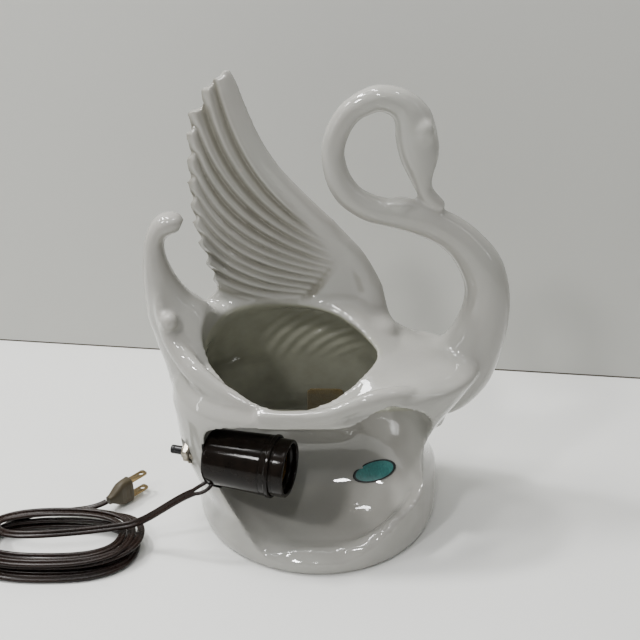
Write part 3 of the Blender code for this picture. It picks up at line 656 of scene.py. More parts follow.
tailRows = inMm([
    (-68, -4, 92, 60, 80), (-76, -4, 110, 56, 72), (-84, -5, 130, 48, 58), (-91, -6, 146, 44, 44),
    (-98, -7, 158, 36, 34), (-102, -8, 169, 27, 28), (-105, -9, 181, 21, 24),
    (-106.5, -10, 194, 15.5, 22), (-106, -10, 205, 13, 20), (-103, -10, 213, 13, 19),
    (-98, -10, 218, 15, 19), (-92, -10, 218.5, 14, 17), (-88, -10, 217, 9, 11)])
wingFront = inMm([  # x, z, width, thickness
    (42, 134, 20, 12), (38, 150, 18, 12), (35, 164, 16, 11), (28, 179, 15, 10), (17, 193, 14, 10),
    (-1, 211, 13, 9), (-17, 227, 13, 9), (-31, 243, 12, 9), (-43, 263, 11, 8), (-51, 283, 10, 7),
    (-56, 300, 8, 6), (-59, 308, 5, 5)])
feathers = inMm([  # root x and z, a point halfway along, tip; from the top feather down
    (14, 196, -36, 240, -61, 304), (13, 191, -43, 233, -69, 298), (11, 187, -48, 225, -78, 284),
    (7, 183, -52, 217, -80, 270), (5, 178, -54, 207, -81, 254), (2, 175, -54, 198, -81, 239),
    (-1, 171, -53, 190, -81, 225), (-4, 167, -52, 181, -80, 212), (-8, 162, -50, 174, -78, 198),
    (-11, 159, -48, 166, -75, 184), (-15, 155, -47, 159, -72, 171)])
webOutline = inMm([(42, 128), (38, 155), (30, 176), (15, 193), (-17, 225), (-44, 262), (-58, 298),
                   (-66, 294), (-74, 280), (-77, 262), (-77, 229), (-75, 201), (-72, 180), (-71, 160),
                   (-82, 150), (-80, 128)])
opening = inMm([(38, -26), (33, -14), (18, 1), (-4, 11), (-30, 15), (-55, 11.5), (-71, -1),
                (-77, -21), (-66, -40), (-47, -58), (-22, -65.5), (6, -59), (28, -42)])
cavityRows = [  # height, slope, left, right, near, far
    (9, 0, -58, 56, 8, 58), (24, 0, -74, 70, 3, 59), (45, 0, -80, 70, 1, 53), (62, 0, -86, 74, -1, 46),
    (78, 0, -88, 82, -8, 44), (90, 0, -90, 90, -26, 43), (102, 0, -88, 92, -50, 41),
    (115, 0.16, -82, 80, -62, 37), (126, 0.32, -77, 60, -64, 29)]
nicheRows = inMm([  # depth, left, right, floor, ceiling
    (-112, -76, 76, 12, 104), (-86, -76, 76, 12, 104), (-60, -76, 76, 12, 102.5),
    (-46.5, -76, 74, 13.6, 98.5), (-34, -75.5, 68, 18.2, 93), (-23.2, -72.5, 58.4, 25.5, 86.5),
    (-15.9, -66, 47.8, 33.6, 80), (-11.1, -57, 36.5, 42.3, 72), (-8.8, -46, 26.4, 50, 64)])


def crownHeight(x, y):
    nearY, nearZ = swan["rimNear"]
    rim = nearZ + swan["rimSlope"] * (min(y, swan["wingY"]) - nearY)
    saddle = 128 * mm - 1.6 * min(y, 0) ** 2
    towardsNeck = ease(x, 26 * mm, 66 * mm)
    beyond = max(y - swan["wingY"], 0)
    drop = (1 - 0.75 * towardsNeck) * (0.9 * beyond + 6 * beyond * beyond)
    lip = 3.5 * mm * ease(x, 20 * mm, 46 * mm) * (1 - ease(x, 64 * mm, 90 * mm)) * ease(-y, 30 * mm, 55 * mm)
    return rim * (1 - towardsNeck) + saddle * towardsNeck - drop + lip


def lipLift(x, most=14.5 * mm, start=10 * mm, end=50 * mm):
    return most * ease(x, start, end) - 2 * mm * ease(-x, 38 * mm, 74 * mm)


def bodyRings():
    rings = []
    for height, left, right, near, far in smoothRows(wallRows, 3):
        share = ease(height, 20 * mm, 90 * mm)
        outline = ovalRing(-left, right, -near, far, 2 + 0.35 * share, swan["rings"],
                           corner=2 + 1.1 * share)
        rings.append([(x, y, height + share * lipLift(x) * ease(-y, -30 * mm, 30 * mm))
                      for x, y in outline])
    top = rings[-1]
    for share in (0.985, 0.95, 0.9, 0.82, 0.7, 0.5, 0.25):
        lift = (1 - share ** 9) ** (1 / 2.2)
        rings.append([(x * share, y * share, z + (crownHeight(x * share, y * share) - z) * lift)
                      for x, y, z in top])
    return rings


def wingLean(x, z):
    across = (x + 20 * mm) / (65 * mm)
    return swan["wingY"] - 3 * mm * across * across + 2 * mm * ease(z, 220 * mm, 310 * mm)


def featherLine(index, steps):  # a curve in x and z through root, halfway point and tip
    rootX, rootZ, midX, midZ, tipX, tipZ = feathers[index]
    bendX, bendZ = 2 * midX - (rootX + tipX) / 2, 2 * midZ - (rootZ + tipZ) / 2
    line = []
    for k in range(steps + 1):
        t = k / steps
        line.append([p * (1 - t) ** 2 + 2 * q * t * (1 - t) + r * t * t
                     for p, q, r in ((rootX, bendX, tipX), (rootZ, bendZ, tipZ))])
    return line


def wingMeshes():
    edge = [(x, wingLean(x, z), z, wide, thick) for x, z, wide, thick in smoothRows(wingFront, 3)]
    meshes = [sweep("frontEdge", edge, 20)]
    for i in range(len(feathers)):
        share = i / (len(feathers) - 1)
        stations = []
        for k, (x, z) in enumerate(featherLine(i, 16)):
            t = k / 16
            wide = (6 + 9 * t - 3 * t ** 8) * mm * (1.08 - 0.2 * share)
            thick = (4 + 5.5 * ease(t, 0, 0.35) - 2.0 * t ** 6) * mm
            stations.append((x, wingLean(x, z), z, wide, thick))
        meshes.append(sweep("feather", stations, 16))
    count = len(webOutline)
    low, high = swan["wingY"] - 3.5 * mm, swan["wingY"] + 3 * mm
    points = [(x, low, z) for x, z in webOutline] + [(x, high, z) for x, z in webOutline]
    faces = [tuple(range(count)), tuple(range(2 * count - 1, count - 1, -1))]
    faces += [((k + 1) % count, k, k + count, (k + 1) % count + count) for k in range(count)]
    return meshes + [meshFrom("web", points, faces)]


def insideWall(x, y, height):
    place = min(height / wallRows[-1][0], 1)
    for low, high in zip(wallRows, wallRows[1:]):
        if high[0] >= place * wallRows[-1][0]:
            break
    row = mix(low, high, min((height - low[0]) / (high[0] - low[0]), 1))
    keep = swan["wall"] + 0.22 * max(height - wallRows[-1][0], 0)
    reachX = (row[2] if x > 0 else -row[1]) - keep
    reachY = (row[4] if y > 0 else -row[3]) - keep
    out = (abs(x / reachX) ** 2.3 + abs(y / reachY) ** 2.3) ** (1 / 2.3)
    return (x / out, y / out) if out > 1 else (x, y)


def cavityRings():
    rings, count = [], swan["cavityRings"]
    for height, slope, left, right, near, far in smoothRows(cavityRows, 2):
        cx, cy = (left + right) / 2, (near + far) / 2
        ring = []
        for dx, dy in ovalRing(cx - left, right - cx, cy - near, far - cy, 2.3, count):
            x, y = insideWall(mm * (cx + dx), mm * (cy + dy), mm * height)
            ring.append((x, y, min(mm * (height + slope * dy), crownHeight(x, y) - swan["wall"])))
        rings.append(ring)
    total = len(opening)
    outline = []
    for k in range(count):
        i, t = int(k * total / count), k * total / count % 1
        a, b, c, d = (opening[(i + j) % total] for j in (-1, 0, 1, 2))
        outline.append([0.5 * (2 * q + (r - p) * t + (2 * p - 5 * q + 4 * r - s) * t * t
                               + (3 * q - p - 3 * r + s) * t ** 3) for p, q, r, s in zip(a, b, c, d)])
    nearY, nearZ = swan["rimNear"]
    for rise in (-5 * mm, 14 * mm):
        rings.append([(x, y - rise * swan["rimSlope"], nearZ + swan["rimSlope"] * (y - nearY) + rise)
                      for x, y in outline])
    return rings


def nicheRings():
    rings = []
    for depth, left, right, floor, top in smoothRows(nicheRows, 4):
        cx, cz = (left + right) / 2, (floor + top) / 2
        ring = []
        for dx, dz in ovalRing(cx - left, right - cx, cz - floor, top - cz, 2.7, 96, farPowers=(9, 3.6)):
            x, z = cx + dx, cz + dz
            foot, full = (0.93, 60 * mm) if x > 0 else (0.60, 100 * mm)
            x *= foot + (1 - foot) * ease(z, -20 * mm, full)
            away = math.hypot(x, depth)
            slope = 14 * mm * ease(away, 66 * mm, 98 * mm)
            rise = (4 + 13 * ease(x, 10 * mm, 70 * mm)) * mm
            rim = 9 * mm * ease(away, 81 * mm, 91 * mm) - rise * ease(away, 67 * mm, 80 * mm)
            leftShare = ease(-x, 5 * mm, 45 * mm)
            roll = (rim + (slope - rim) * leftShare) * (1 - ease(z, 10 * mm, 45 * mm))
            lift = lipLift(x, 16.5 * mm, 12 * mm, 48 * mm)
            ring.append((x, depth, z + ease(z, 30 * mm, 90 * mm) * lift - roll))
        rings.append(ring)
    return rings


ridgeRows = inMm([  # the crest from the tail's edge round the bowl: x, y, z, height, thickness
    (-102, -13, 192, 7, 9), (-103.5, -17, 176, 8, 10), (-102, -21, 161, 10, 11), (-97, -27, 146, 12, 12),
    (-88, -35, 135, 14, 12), (-80, -43, 129, 15, 11), (-68, -51, 121.5, 15, 10),
    (-54, -57, 115.5, 14, 9), (-40, -61, 111.5, 12, 8), (-24, -63.5, 110, 10, 7), (-6, -65, 109, 7, 6)])
lipRows = inMm([  # the rolled lip over the niche, rising to the right: x, y, z, height, thickness
    (-40, -66, 110, 8, 8), (-12, -68, 110.5, 9, 8), (5, -68, 112.5, 10, 9), (20, -66, 117.5, 11, 10),
    (35, -63.5, 121.5, 12, 11), (51, -59, 121.5, 12, 12), (66, -51, 115.5, 12, 12),
    (76, -43, 107, 11, 12), (80, -36, 96, 9, 11), (80, -31, 84, 6, 9)])
lumps = [  # place and half sizes in mm: shoulder, on the tail, glaze pad under the bill, brows
    ("shoulder", (43, 8, 137), (11, 10, 6)), ("tailBall", (-97.5, -27.5, 158), (6.2, 6.2, 6.2)),
    ("tailKnob", (-105, -16, 190), (4.5, 5, 5)),
    ("billPad", (51, -2, 229.5), (11, 8, 3.2)), ("nearBrow", (64, -9, 276), (6, 5, 8)),
    ("farBrow", (64, 9, 276), (6, 5, 8)),
]
softJoints = [  # centre, radius: where parts of the casting run into each other
    ((84, 0, 112), 34), ((44, 12, 140), 18), ((-78, 2, 150), 22), ((-60, 16, 152), 24),
    ((0, 20, 152), 30), ((30, 18, 150), 22), ((8, 16, 184), 28), ((20, 16, 170), 28),
    ((2, 16, 166), 26),
    ((68, 0, 231), 6), ((64, 0, 274), 14),
]


def meshArrays(mesh):
    points = np.empty(len(mesh.vertices) * 3)
    mesh.vertices.foreach_get("co", points)
    edges = np.empty(len(mesh.edges) * 2, dtype=np.int64)
    mesh.edges.foreach_get("vertices", edges)
    return points.reshape(-1, 3), edges.reshape(-1, 2)


def neighbourMean(values, edges, count):
    out = np.zeros_like(values)
    for axis in range(values.shape[1]):
        out[:, axis] = (np.bincount(edges[:, 0], values[edges[:, 1], axis], len(values))
                        + np.bincount(edges[:, 1], values[edges[:, 0], axis], len(values)))
    return out / count[:, None]


def relaxMesh(mesh, rounds, weight=None, pull=0.5, push=-0.52):
    points, edges = meshArrays(mesh)
    count = np.maximum(np.bincount(edges.ravel(), minlength=len(points)), 1)
    share = np.ones(len(points)) if weight is None else weight
    for _ in range(rounds):
        for step in (pull, push) if push else (pull,):
            points += (neighbourMean(points, edges, count) - points) * share[:, None] * step
    mesh.vertices.foreach_set("co", points.ravel())
    mesh.update()


def jointWeight(points):
    weight = np.zeros(len(points))
    for centre, radius in softJoints:
        away = np.linalg.norm(points - np.array(centre) * mm, axis=1)
        weight = np.maximum(weight, 1 - ease(away, radius * 0.55 * mm, radius * mm))
    return weight


def awayFromLine(flat, line):  # from points in a plane to a chain of short straight runs
    nearest = np.full(len(flat), 1.0)
    for a, b in zip(line, line[1:]):
        run = b - a
        t = np.clip(((flat - a) @ run) / (run @ run), 0, 1)
        nearest = np.minimum(nearest, np.linalg.norm(flat - a - t[:, None] * run, axis=1))
    return nearest


def featherField(flat):  # 0 in the valley between two feathers, 1 on a feather's back
    best = np.full((2, len(flat)), 1.0)
    for i in range(len(feathers)):
        nearest = awayFromLine(flat, np.array(featherLine(i, 24)))
        closer = nearest < best[0]
        best[1] = np.where(closer, best[0], np.minimum(best[1], nearest))
        best[0] = np.where(closer, nearest, best[0])
    ratio = best[0] / (0.5 * (best[0] + best[1]) + 1e-9)
    ratio = np.clip(ratio, 0, 1)
    rib = 0.25 * np.sqrt(1 - ratio ** 2) + 0.75 * (0.5 + 0.5 * np.cos(math.pi * ratio))
    return rib, best[0], np.clip((best[0] + best[1]) / (6.5 * mm), 0, 1.25)


flutes = {  # in metres; a pair is where an effect starts and ends
    "foot": 0.15, "left": -0.092, "right": 0.036, "halfThick": 0.0085, "tailRight": -0.078,
    "tailFar": 0.008, "rise": (0.150, 0.160), "sides": (0.0075, 0.0095), "fromEdge": (0.0045, 0.0105),
    "fromFeather": (0.006, 0.009), "roots": (-0.016, 0.014), "rootSlope": 0.25, "rootHeight": 0.19,
    "bothFaces": (0.0005, 0.003),
}


def fluteWing(obj):
    shape = bmesh.new()
    shape.from_mesh(obj.data)

    def onWing(co):
        onTail = co.x < flutes["tailRight"] and co.y < flutes["tailFar"]
        near = abs(co.y - wingLean(co.x, co.z)) < flutes["halfThick"]
        return co.z > flutes["foot"] and flutes["left"] < co.x < flutes["right"] and near and not onTail
    chosen = [e for e in shape.edges if onWing(e.verts[0].co) and onWing(e.verts[1].co)]
    bmesh.ops.subdivide_edges(shape, edges=chosen, cuts=1, use_grid_fill=True)
    shape.to_mesh(obj.data)
    shape.free()
    mesh = obj.data
    points = meshArrays(mesh)[0]
    flat = points[:, [0, 2]]
    x, y, z = points.T
    side = y - np.array([wingLean(*place) for place in flat])
    field, nearest, broad = featherField(flat)
    toFront = awayFromLine(flat, np.array(smoothRows(wingFront, 3))[:, :2])
    beforeRoots = x + flutes["rootSlope"] * (z - flutes["rootHeight"])
    mask = (ease(z, *flutes["rise"]) * (1 - ease(np.abs(side), *flutes["sides"]))
            * ease(toFront, *flutes["fromEdge"]) * (1 - ease(nearest, *flutes["fromFeather"]))
            * (1 - ease(beforeRoots, *flutes["roots"])) * (x > flutes["left"] - 0.003))
    depth = swan["fluteDepth"] * mask * broad ** 1.5 * (field - 0.55)
    points[:, 1] += np.sign(side) * depth * ease(np.abs(side), *flutes["bothFaces"])
    mesh.vertices.foreach_set("co", points.ravel())
    # where the wing is painted darker: painted shade in the valleys and across the whole fluted wing, partly
    # glaze pooling
    valley = mask * broad * (0.3 + 0.7 * (1 - ease(field, 0.0, 0.8)))
    return points, valley


ripples = {  # in metres
    "far": (0.018, 0.028), "rise": (0.09, 0.108), "fade": (0.138, 0.148), "middle": -0.004,
    "sides": (0.022, 0.045), "centre": (0.045, 0.075), "squash": 1.25, "height": 0.0004, "apart": 0.0095,
}


def fluteInside(points, normals):  # the wing's feathers show faintly in the planter's far wall
    x, y, z = points.T
    mask = (ease(normals[:, 1] * -1, 0.3, 0.8) * ease(y, *ripples["far"]) * ease(z, *ripples["rise"])
            * (1 - ease(z, *ripples["fade"])) * (1 - ease(np.abs(x - ripples["middle"]), *ripples["sides"])))
    centreX, centreZ = ripples["centre"]
    around = np.hypot(x - centreX, (z - centreZ) * ripples["squash"])
    points[:, 1] -= mask * ripples["height"] * np.sin(tau * around / ripples["apart"])


def markSurface(mesh, valley, bowl):  # bowl is a search tree of the planter's inside
    points = meshArrays(mesh)[0]
    away = np.array([bowl.find_nearest(Vector(p))[3] for p in points])
    y, z = points.T[1:]
    nearY, nearZ = swan["rimNear"]
    below = (nearZ + swan["rimSlope"] * (np.minimum(y, 0.014) - nearY)) - z
    inside = ease(below, 0.001, 0.004) * (1 - ease(away, 0.0026, 0.0038))
    # hollow marks where the glaze is painted darker: painted shade on the wing, partly glaze pooling
    for name, values in (("inside", inside), ("hollow", valley)):
        layer = mesh.attributes.new(name, "FLOAT", "POINT")
        layer.data.foreach_set("value", values.astype(np.float32))


socket = {"at": (-73 * mm, -50 * mm, 70 * mm), "yaw": 16}
socketMatrix = (Matrix.Translation(socket["at"]) @ Matrix.Rotation(math.radians(-socket["yaw"]), 4, "Z")
                @ Matrix.Rotation(math.radians(90), 4, "Y"))


def roundCutter(name, low, high, radius, matrix=socketMatrix, sides=64):
    return addPiece(name, turned(name, [(0, low), (radius, low), (radius, high), (0, high)], sides), matrix)


def makeSwan():
    meshes = [loft("body", bodyRings()), sweep("neck", smoothRows(neckRows, 4), 36),
              sweep("tail", smoothRows(tailRows, 4), 36), sweep("ridge", smoothRows(ridgeRows, 4), 20),
              sweep("lip", smoothRows(lipRows, 4), 20)]
    meshes += wingMeshes()
    meshes += [egg(name, at, radii) for name, at, radii in lumps]
    whole = addPiece("swanCeramic", joined("swanCeramic", meshes))
    voxelRemesh(whole, swan["voxel"])
    hollowed = loft("cavity", cavityRings())
    bowl = BVHTree.FromPolygons([v.co.copy() for v in hollowed.vertices],
                                [tuple(p.vertices) for p in hollowed.polygons])
    cutWith(whole, addPiece("cavity", hollowed))
    cutWith(whole, addPiece("niche", loft("niche", nicheRings())))
    voxelRemesh(whole, swan["voxel"])
    print("swan joined:", len(whole.data.polygons), "faces")
    relaxMesh(whole.data, 5)
    relaxMesh(whole.data, 36, jointWeight(meshArrays(whole.data)[0]), 0.5, None)
    relaxMesh(whole.data, 2)
    cutWith(whole, roundCutter("innerSeat", -0.5, 14, swan["barrelSeatRadius"]))
    shape = bmesh.new()
    size = swan["groundCut"]
    bmesh.ops.create_cube(shape, size=size, matrix=Matrix.Translation((0, 0, -size / 2)))
    cutWith(whole, addPiece("ground", meshOf("ground", shape)))
    cutWith(whole, roundCutter("bore", -30, 8, swan["bore"]))
    cutWith(whole, roundCutter("outerSeat", -30, swan["nutSeat"], swan["nutSeatRadius"]))
    points, valley = fluteWing(whole)
    mesh = whole.data
    mesh.update()
    normals = np.empty(len(mesh.vertices) * 3)
    mesh.vertices.foreach_get("normal", normals)
    fluteInside(points, normals.reshape(-1, 3))
    mesh.vertices.foreach_set("co", points.ravel())
    mesh.update()
    markSurface(mesh, valley, bowl)
    mesh.shade_smooth()
    mesh.set_sharp_from_angle(angle=math.radians(50))
    finishPiece(whole, whiteGlaze, ["ceramic_body"])
    print("swan finished:", len(mesh.polygons), "faces")
    return whole


# ---- the lampholder and its fixings

holder = {
    "shell": [(5.4, 0), (16.8, 0), (17.9, 1), (18.3, 3), (20.0, 39.6), (19.7, 39.9), (19.7, 40.3),
              (20.05, 40.6), (20.3, 43.6), (20.9, 44.2), (20.9, 46), (20.3, 46.5), (19.4, 46.5),
              (19.4, 38), (18.0, 37.6), (16.2, 2.4), (5.4, 2.4)],
    "mouth": [(15.2, 22.4), (16.6, 22.4), (17.5, 37.9), (19, 38.4), (19, 47.4), (18.8, 47.7), (18.8, 48.3),
              (19, 48.6), (19, 55.3), (18.3, 56), (16.9, 56), (16.2, 55.3), (16.2, 52), (15.2, 51)],
    "portAlong": 5.2, "portTurn": 45, "portRadius": 3.0, "notchTurn": 40, "notchWide": 1.5,
}


def closedProfile(profile, radius, steps=4):
    return rounded(profile + [profile[0]], radius, steps)[:-1]


def boxCutter(name, low, high, matrix):
    shape = bmesh.new()
    size = [(b - a) * mm for a, b in zip(low, high)]
    middle = [(a + b) / 2 * mm for a, b in zip(low, high)]
    bmesh.ops.create_cube(shape, size=1, matrix=matrix @ Matrix.Translation(middle)
                          @ Matrix.Diagonal((*size, 1)))
    return addPiece(name, meshOf(name, shape))


def makeHousing():
    shell = addPiece("holderShell", turned("holderShell", closedProfile(holder["shell"], 0.6), 128,
                                           hollow=True), socketMatrix)
    turn = math.radians(holder["portTurn"])
    port = (socketMatrix @ Matrix.Translation((0, 0, holder["portAlong"] * mm))
            @ Matrix.Rotation(-turn, 4, "Z") @ Matrix.Rotation(math.radians(90), 4, "Y"))
    cutWith(shell, roundCutter("port", 8, 26, holder["portRadius"], port, 32))
    notch = socketMatrix @ Matrix.Rotation(-math.radians(holder["notchTurn"]), 4, "Z")
    wide = holder["notchWide"] / 2
    cutWith(shell, boxCutter("notch", (19.55, -wide, 40), (24, wide, 48), notch))
    tab = addPiece("latchTab", turned("latchTab", [(0, 0), (1.5, 0), (1.9, 0.4), (1.9, 1.2), (1.5, 1.6),
                                                   (0, 1.6)], 24))
    tab.data.transform(notch @ Matrix.Translation((19.0 * mm, 0, 44.4 * mm))
                       @ Matrix.Rotation(math.radians(90), 4, "Y"))
    tab.data.transform(shell.matrix_world.inverted())
    shape = bmesh.new()
    shape.from_mesh(shell.data)
    shape.from_mesh(tab.data)
    shape.to_mesh(shell.data)
    shape.free()
    bpy.data.objects.remove(tab)
    shell.data.shade_smooth()
    shell.data.set_sharp_from_angle(angle=math.radians(38))
    finishPiece(shell, darkPhenolic, ["socket_housing"])
    mouth = addPiece("holderMouth", turned("holderMouth", closedProfile(holder["mouth"], 0.5), 128,
                                           hollow=True), socketMatrix)
    finishPiece(mouth, darkPhenolic, ["socket_mouth_ring"])


def spiralTube(name, low, high, step, sides, radius, wall):  # a threaded tube, in mm
    rows = [low + step * k for k in range(int(round((high - low) / step)) + 1)]
    points = []
    for inner in (False, True):
        for s in (reversed(rows) if inner else rows):
            for k in range(sides):
                turn = tau * k / sides
                r = radius(s, turn) - (wall(s, turn) if inner else 0)
                points.append((r * mm * math.cos(turn), r * mm * math.sin(turn), s * mm))
    faces = ringFaces(2 * len(rows), sides, closedRows=True)
    return meshFrom(name, points, faces, sharpest=50)


thread = {"shellPitch": 3.63, "shellRise": 0.6, "shellRadius": 13.25, "bushPitch": 0.94,
          "bushRise": 0.2, "bushRadius": 4.95, "bushWall": 3.3, "flange": 2.55}


def makeThreads():
    def shellRadius(s, turn):
        rolled = math.sin(tau * s / thread["shellPitch"] - turn)
        depth = thread["shellRise"] * rolled * ease(s, 25.5, 27.5) * (1 - ease(s, 47, 48.8))
        return thread["shellRadius"] + depth
    shell = addPiece("screwShell", spiralTube("screwShell", 24.6, 49.5, 0.3, 56, shellRadius,
                                              lambda s, turn: 0.3), socketMatrix)
    finishPiece(shell, oldBrass, ["screw_shell"])

    def bushRadius(s, turn):
        cut = abs(((s / thread["bushPitch"] - turn / tau) % 1) - 0.5) * 2
        threaded = ease(s, -18.9, -18.3) * (1 - ease(s, 2.0, 2.4))
        flange = thread["flange"] * ease(s, 2.6, 2.8)
        chamfer = 0.25 * (1 - ease(s, -19, -18.5))
        return thread["bushRadius"] - chamfer - thread["bushRise"] * cut * threaded + flange
    bush = addPiece("threadedBush", spiralTube("threadedBush", -19, 3.9, 0.1, 48, bushRadius,
                                               lambda s, turn: bushRadius(s, turn) - thread["bushWall"]),
                    socketMatrix)
    finishPiece(bush, dullNickel, ["threaded_bush"])


nut = {"across": 6.23, "corner": 7.2, "low": -17.4, "high": -14.2, "bore": 5.25}
washer = {
    "section": [(5.3, -13.9), (7.1, -13.9), (7.6, -13.55), (7.6, -13.2), (7.2, -12.9), (5.3, -12.9)],
    "teeth": 16, "toothHigh": 0.12 * mm, "toothFrom": 6.2 * mm, "toothTo": 7.6 * mm,
}


def makeNut():
    sides, rows, points = 144, 14, []
    for k in range(rows + 1):
        s = nut["low"] + (nut["high"] - nut["low"]) * k / rows
        fromEnd = min(s - nut["low"], nut["high"] - s)
        cone = nut["across"] - 0.1 + 2.1 * fromEnd
        for i in range(sides):
            turn = tau * i / sides
            flat = nut["across"] / math.cos((turn % (tau / 6)) - tau / 12)
            r = min(flat, cone, nut["corner"])
            points.append((r * mm * math.cos(turn), r * mm * math.sin(turn), s * mm))
    for s, r in ((nut["high"], nut["bore"] + 0.4), (nut["high"] - 0.4, nut["bore"]),
                 (nut["low"] + 0.4, nut["bore"]), (nut["low"], nut["bore"] + 0.4)):
        points += [(r * mm * math.cos(tau * i / sides), r * mm * math.sin(tau * i / sides), s * mm)
                   for i in range(sides)]
    made = addPiece("hexNut", meshFrom("hexNut", points, ringFaces(rows + 5, sides, True), sharpest=25),
                    socketMatrix)
    finishPiece(made, dullNickel, ["hex_nut"])
    profile = closedProfile(washer["section"], 0.2, 3)
    ring = addPiece("lockWasher", turned("lockWasher", profile, 96, hollow=True), socketMatrix)
    for vertex in ring.data.vertices:  # the teeth of a lock washer, as a wave in its outer half
        away = math.hypot(vertex.co.x, vertex.co.y)
        turn = math.atan2(vertex.co.y, vertex.co.x)
        outer = ease(away, washer["toothFrom"], washer["toothTo"])
        vertex.co.z += washer["toothHigh"] * math.sin(washer["teeth"] * turn) * outer
    finishPiece(ring, dullNickel, ["lock_washer"])


button = [(0, -27.85), (1.7, -28), (2.75, -27.7), (3, -26.9), (3, -25.6), (2.86, -25.4), (2.86, -25.1),
          (3, -24.9), (3, 4.2), (0, 4.2)]  # radius, place along the barrel's axis


def makeButton():
    made = addPiece("pushButton", turned("pushButton", rounded(button, 0.25, 3), 64), socketMatrix)
    finishPiece(made, buttonBlack, ["push_button"], "button")


# ---- the cord, its bundle and plug

cordLook = {"wide": 5.3, "thick": 2.7, "waist": 0.78, "split": 17, "splitGap": 1.0, "wireRadius": 1.3,
            "step": 2.5 * mm, "turnSteps": 26, "sides": 28, "wireSides": 16}
leadRoute = [(-71.2, -62.6, 58.8), (-73.0, -65.2, 56.6), (-76.4, -66.9, 55.0), (-81, -66.8, 53.4),
             (-88, -66, 49.5), (-98, -64.5, 42.0), (-108, -62.5, 33.6), (-117.4, -60.5, 25.9),
             (-127, -60, 20.8), (-140, -61.5, 19.2), (-165, -66, 19), (-195, -69, 19), (-215, -66, 18.4)]
turns = [  # right, left, near and far reach, level, lift at the right end
    (-134, -228, -85, -41, 14.2, 0.0), (-128, -235, -90.5, -36, 13.6, 0.0),
    (-122.2, -236.3, -88, -33.5, 8.4, 3.4), (-132, -229, -83, -40, 8.0, 0.0),
    (-131, -230, -86.5, -39.5, 3.0, 0.0), (-125.5, -236.3, -93.3, -33.3, 2.8, 0.6)]
tailRoute = [(-226, -43, 3.2), (-214, -34.5, 4.2), (-202, -29.6, 5.2), (-190, -27.6, 6.0),
             (-182, -27.2, 6.6), (-174, -27.2, 7.4), (-166, -27.1, 8.6), (-160.5, -26.2, 9.4),
             (-156.8, -24.3, 10), (-153.7, -21.5, 10.3)]


def bundlePath():
    path, steps = [], cordLook["turnSteps"]
    total = (len(turns) - 0.02) * steps
    for k in range(2, int(total) + 1):
        place = k / steps
        index = min(int(place), len(turns) - 1)
        part = place - index
        now = list(turns[index])
        if part > 0.78 and index + 1 < len(turns):
            now = mix(now, turns[index + 1], float(ease(part, 0.78, 1.22)))
        elif part < 0.22 and index:
            now = mix(turns[index - 1], now, float(ease(part, -0.22, 0.22)))
        right, left, near, far, level, lift = now
        turn = math.pi - tau * part  # from the left end, clockwise from above
        c, s = math.cos(turn), math.sin(turn)
        x = (right + left) / 2 + math.copysign(abs(c) ** 0.8, c) * (right - left) / 2
        y = (near + far) / 2 + math.copysign(abs(s) ** 0.8, s) * (far - near) / 2
        wobble = 0.6 * math.sin(5.3 * place + 1.1)
        path.append((x, y, level + lift * ease(c, 0.2, 1.0) + wobble * (level > 4)))
    return path


def cordPath():
    rows = inMm(leadRoute + bundlePath() + tailRoute)
    fine = [Vector(p) for p in smoothRows(rows, 4)]
    out, spare, step = [fine[0]], 0.0, cordLook["step"]
    for a, b in zip(fine, fine[1:]):  # even steps along it
        gap = (b - a).length
        while spare + gap >= step:
            a = a + (b - a) * ((step - spare) / gap)
            out.append(a.copy())
            gap, spare = (b - a).length, 0.0
        spare += gap
    for _ in range(6):
        out = [out[0]] + [(a + b * 2 + c) / 4 for a, b, c in zip(out, out[1:], out[2:])] + [out[-1]]
    return out


def twinProfile():  # two round conductors side by side with a web between them
    centre = (cordLook["wide"] - cordLook["thick"]) / 2
    radius = cordLook["thick"] / 2
    ring = []
    for k in range(cordLook["sides"]):
        turn = tau * k / cordLook["sides"]
        x = cordLook["wide"] / 2 * math.cos(turn)
        gap = abs(abs(x) - centre)
        y = math.sqrt(max(radius ** 2 - gap ** 2, 0)) if gap < radius else 0
        y = max(y, cordLook["waist"] if abs(x) < centre else 0)
        ring.append((x * mm, math.copysign(y, math.sin(turn)) * mm))
    return ring


def cordFrames(path):
    frames = []
    for i, p in enumerate(path):
        along = (path[min(i + 1, len(path) - 1)] - path[max(i - 1, 0)]).normalized()
        level = along.cross(Vector((0, 0, 1))).normalized()
        run = i * cordLook["step"]
        tilt = 0.55 + 0.35 * math.sin(tau * run / 0.31) + 0.2 * math.sin(tau * run / 0.117 + 1.0)
        tilt = tilt + (1.0 - tilt) * (1 - float(ease(run, 0.07, 0.12)))
        over = level.cross(along).normalized()
        wide = level * math.cos(tilt) + over * math.sin(tilt)
        frames.append((p, wide, wide.cross(along).normalized()))
    return frames


def ringsToMesh(rings):
    return loft("cordRun", [[tuple(p) for p in ring] for ring in rings])


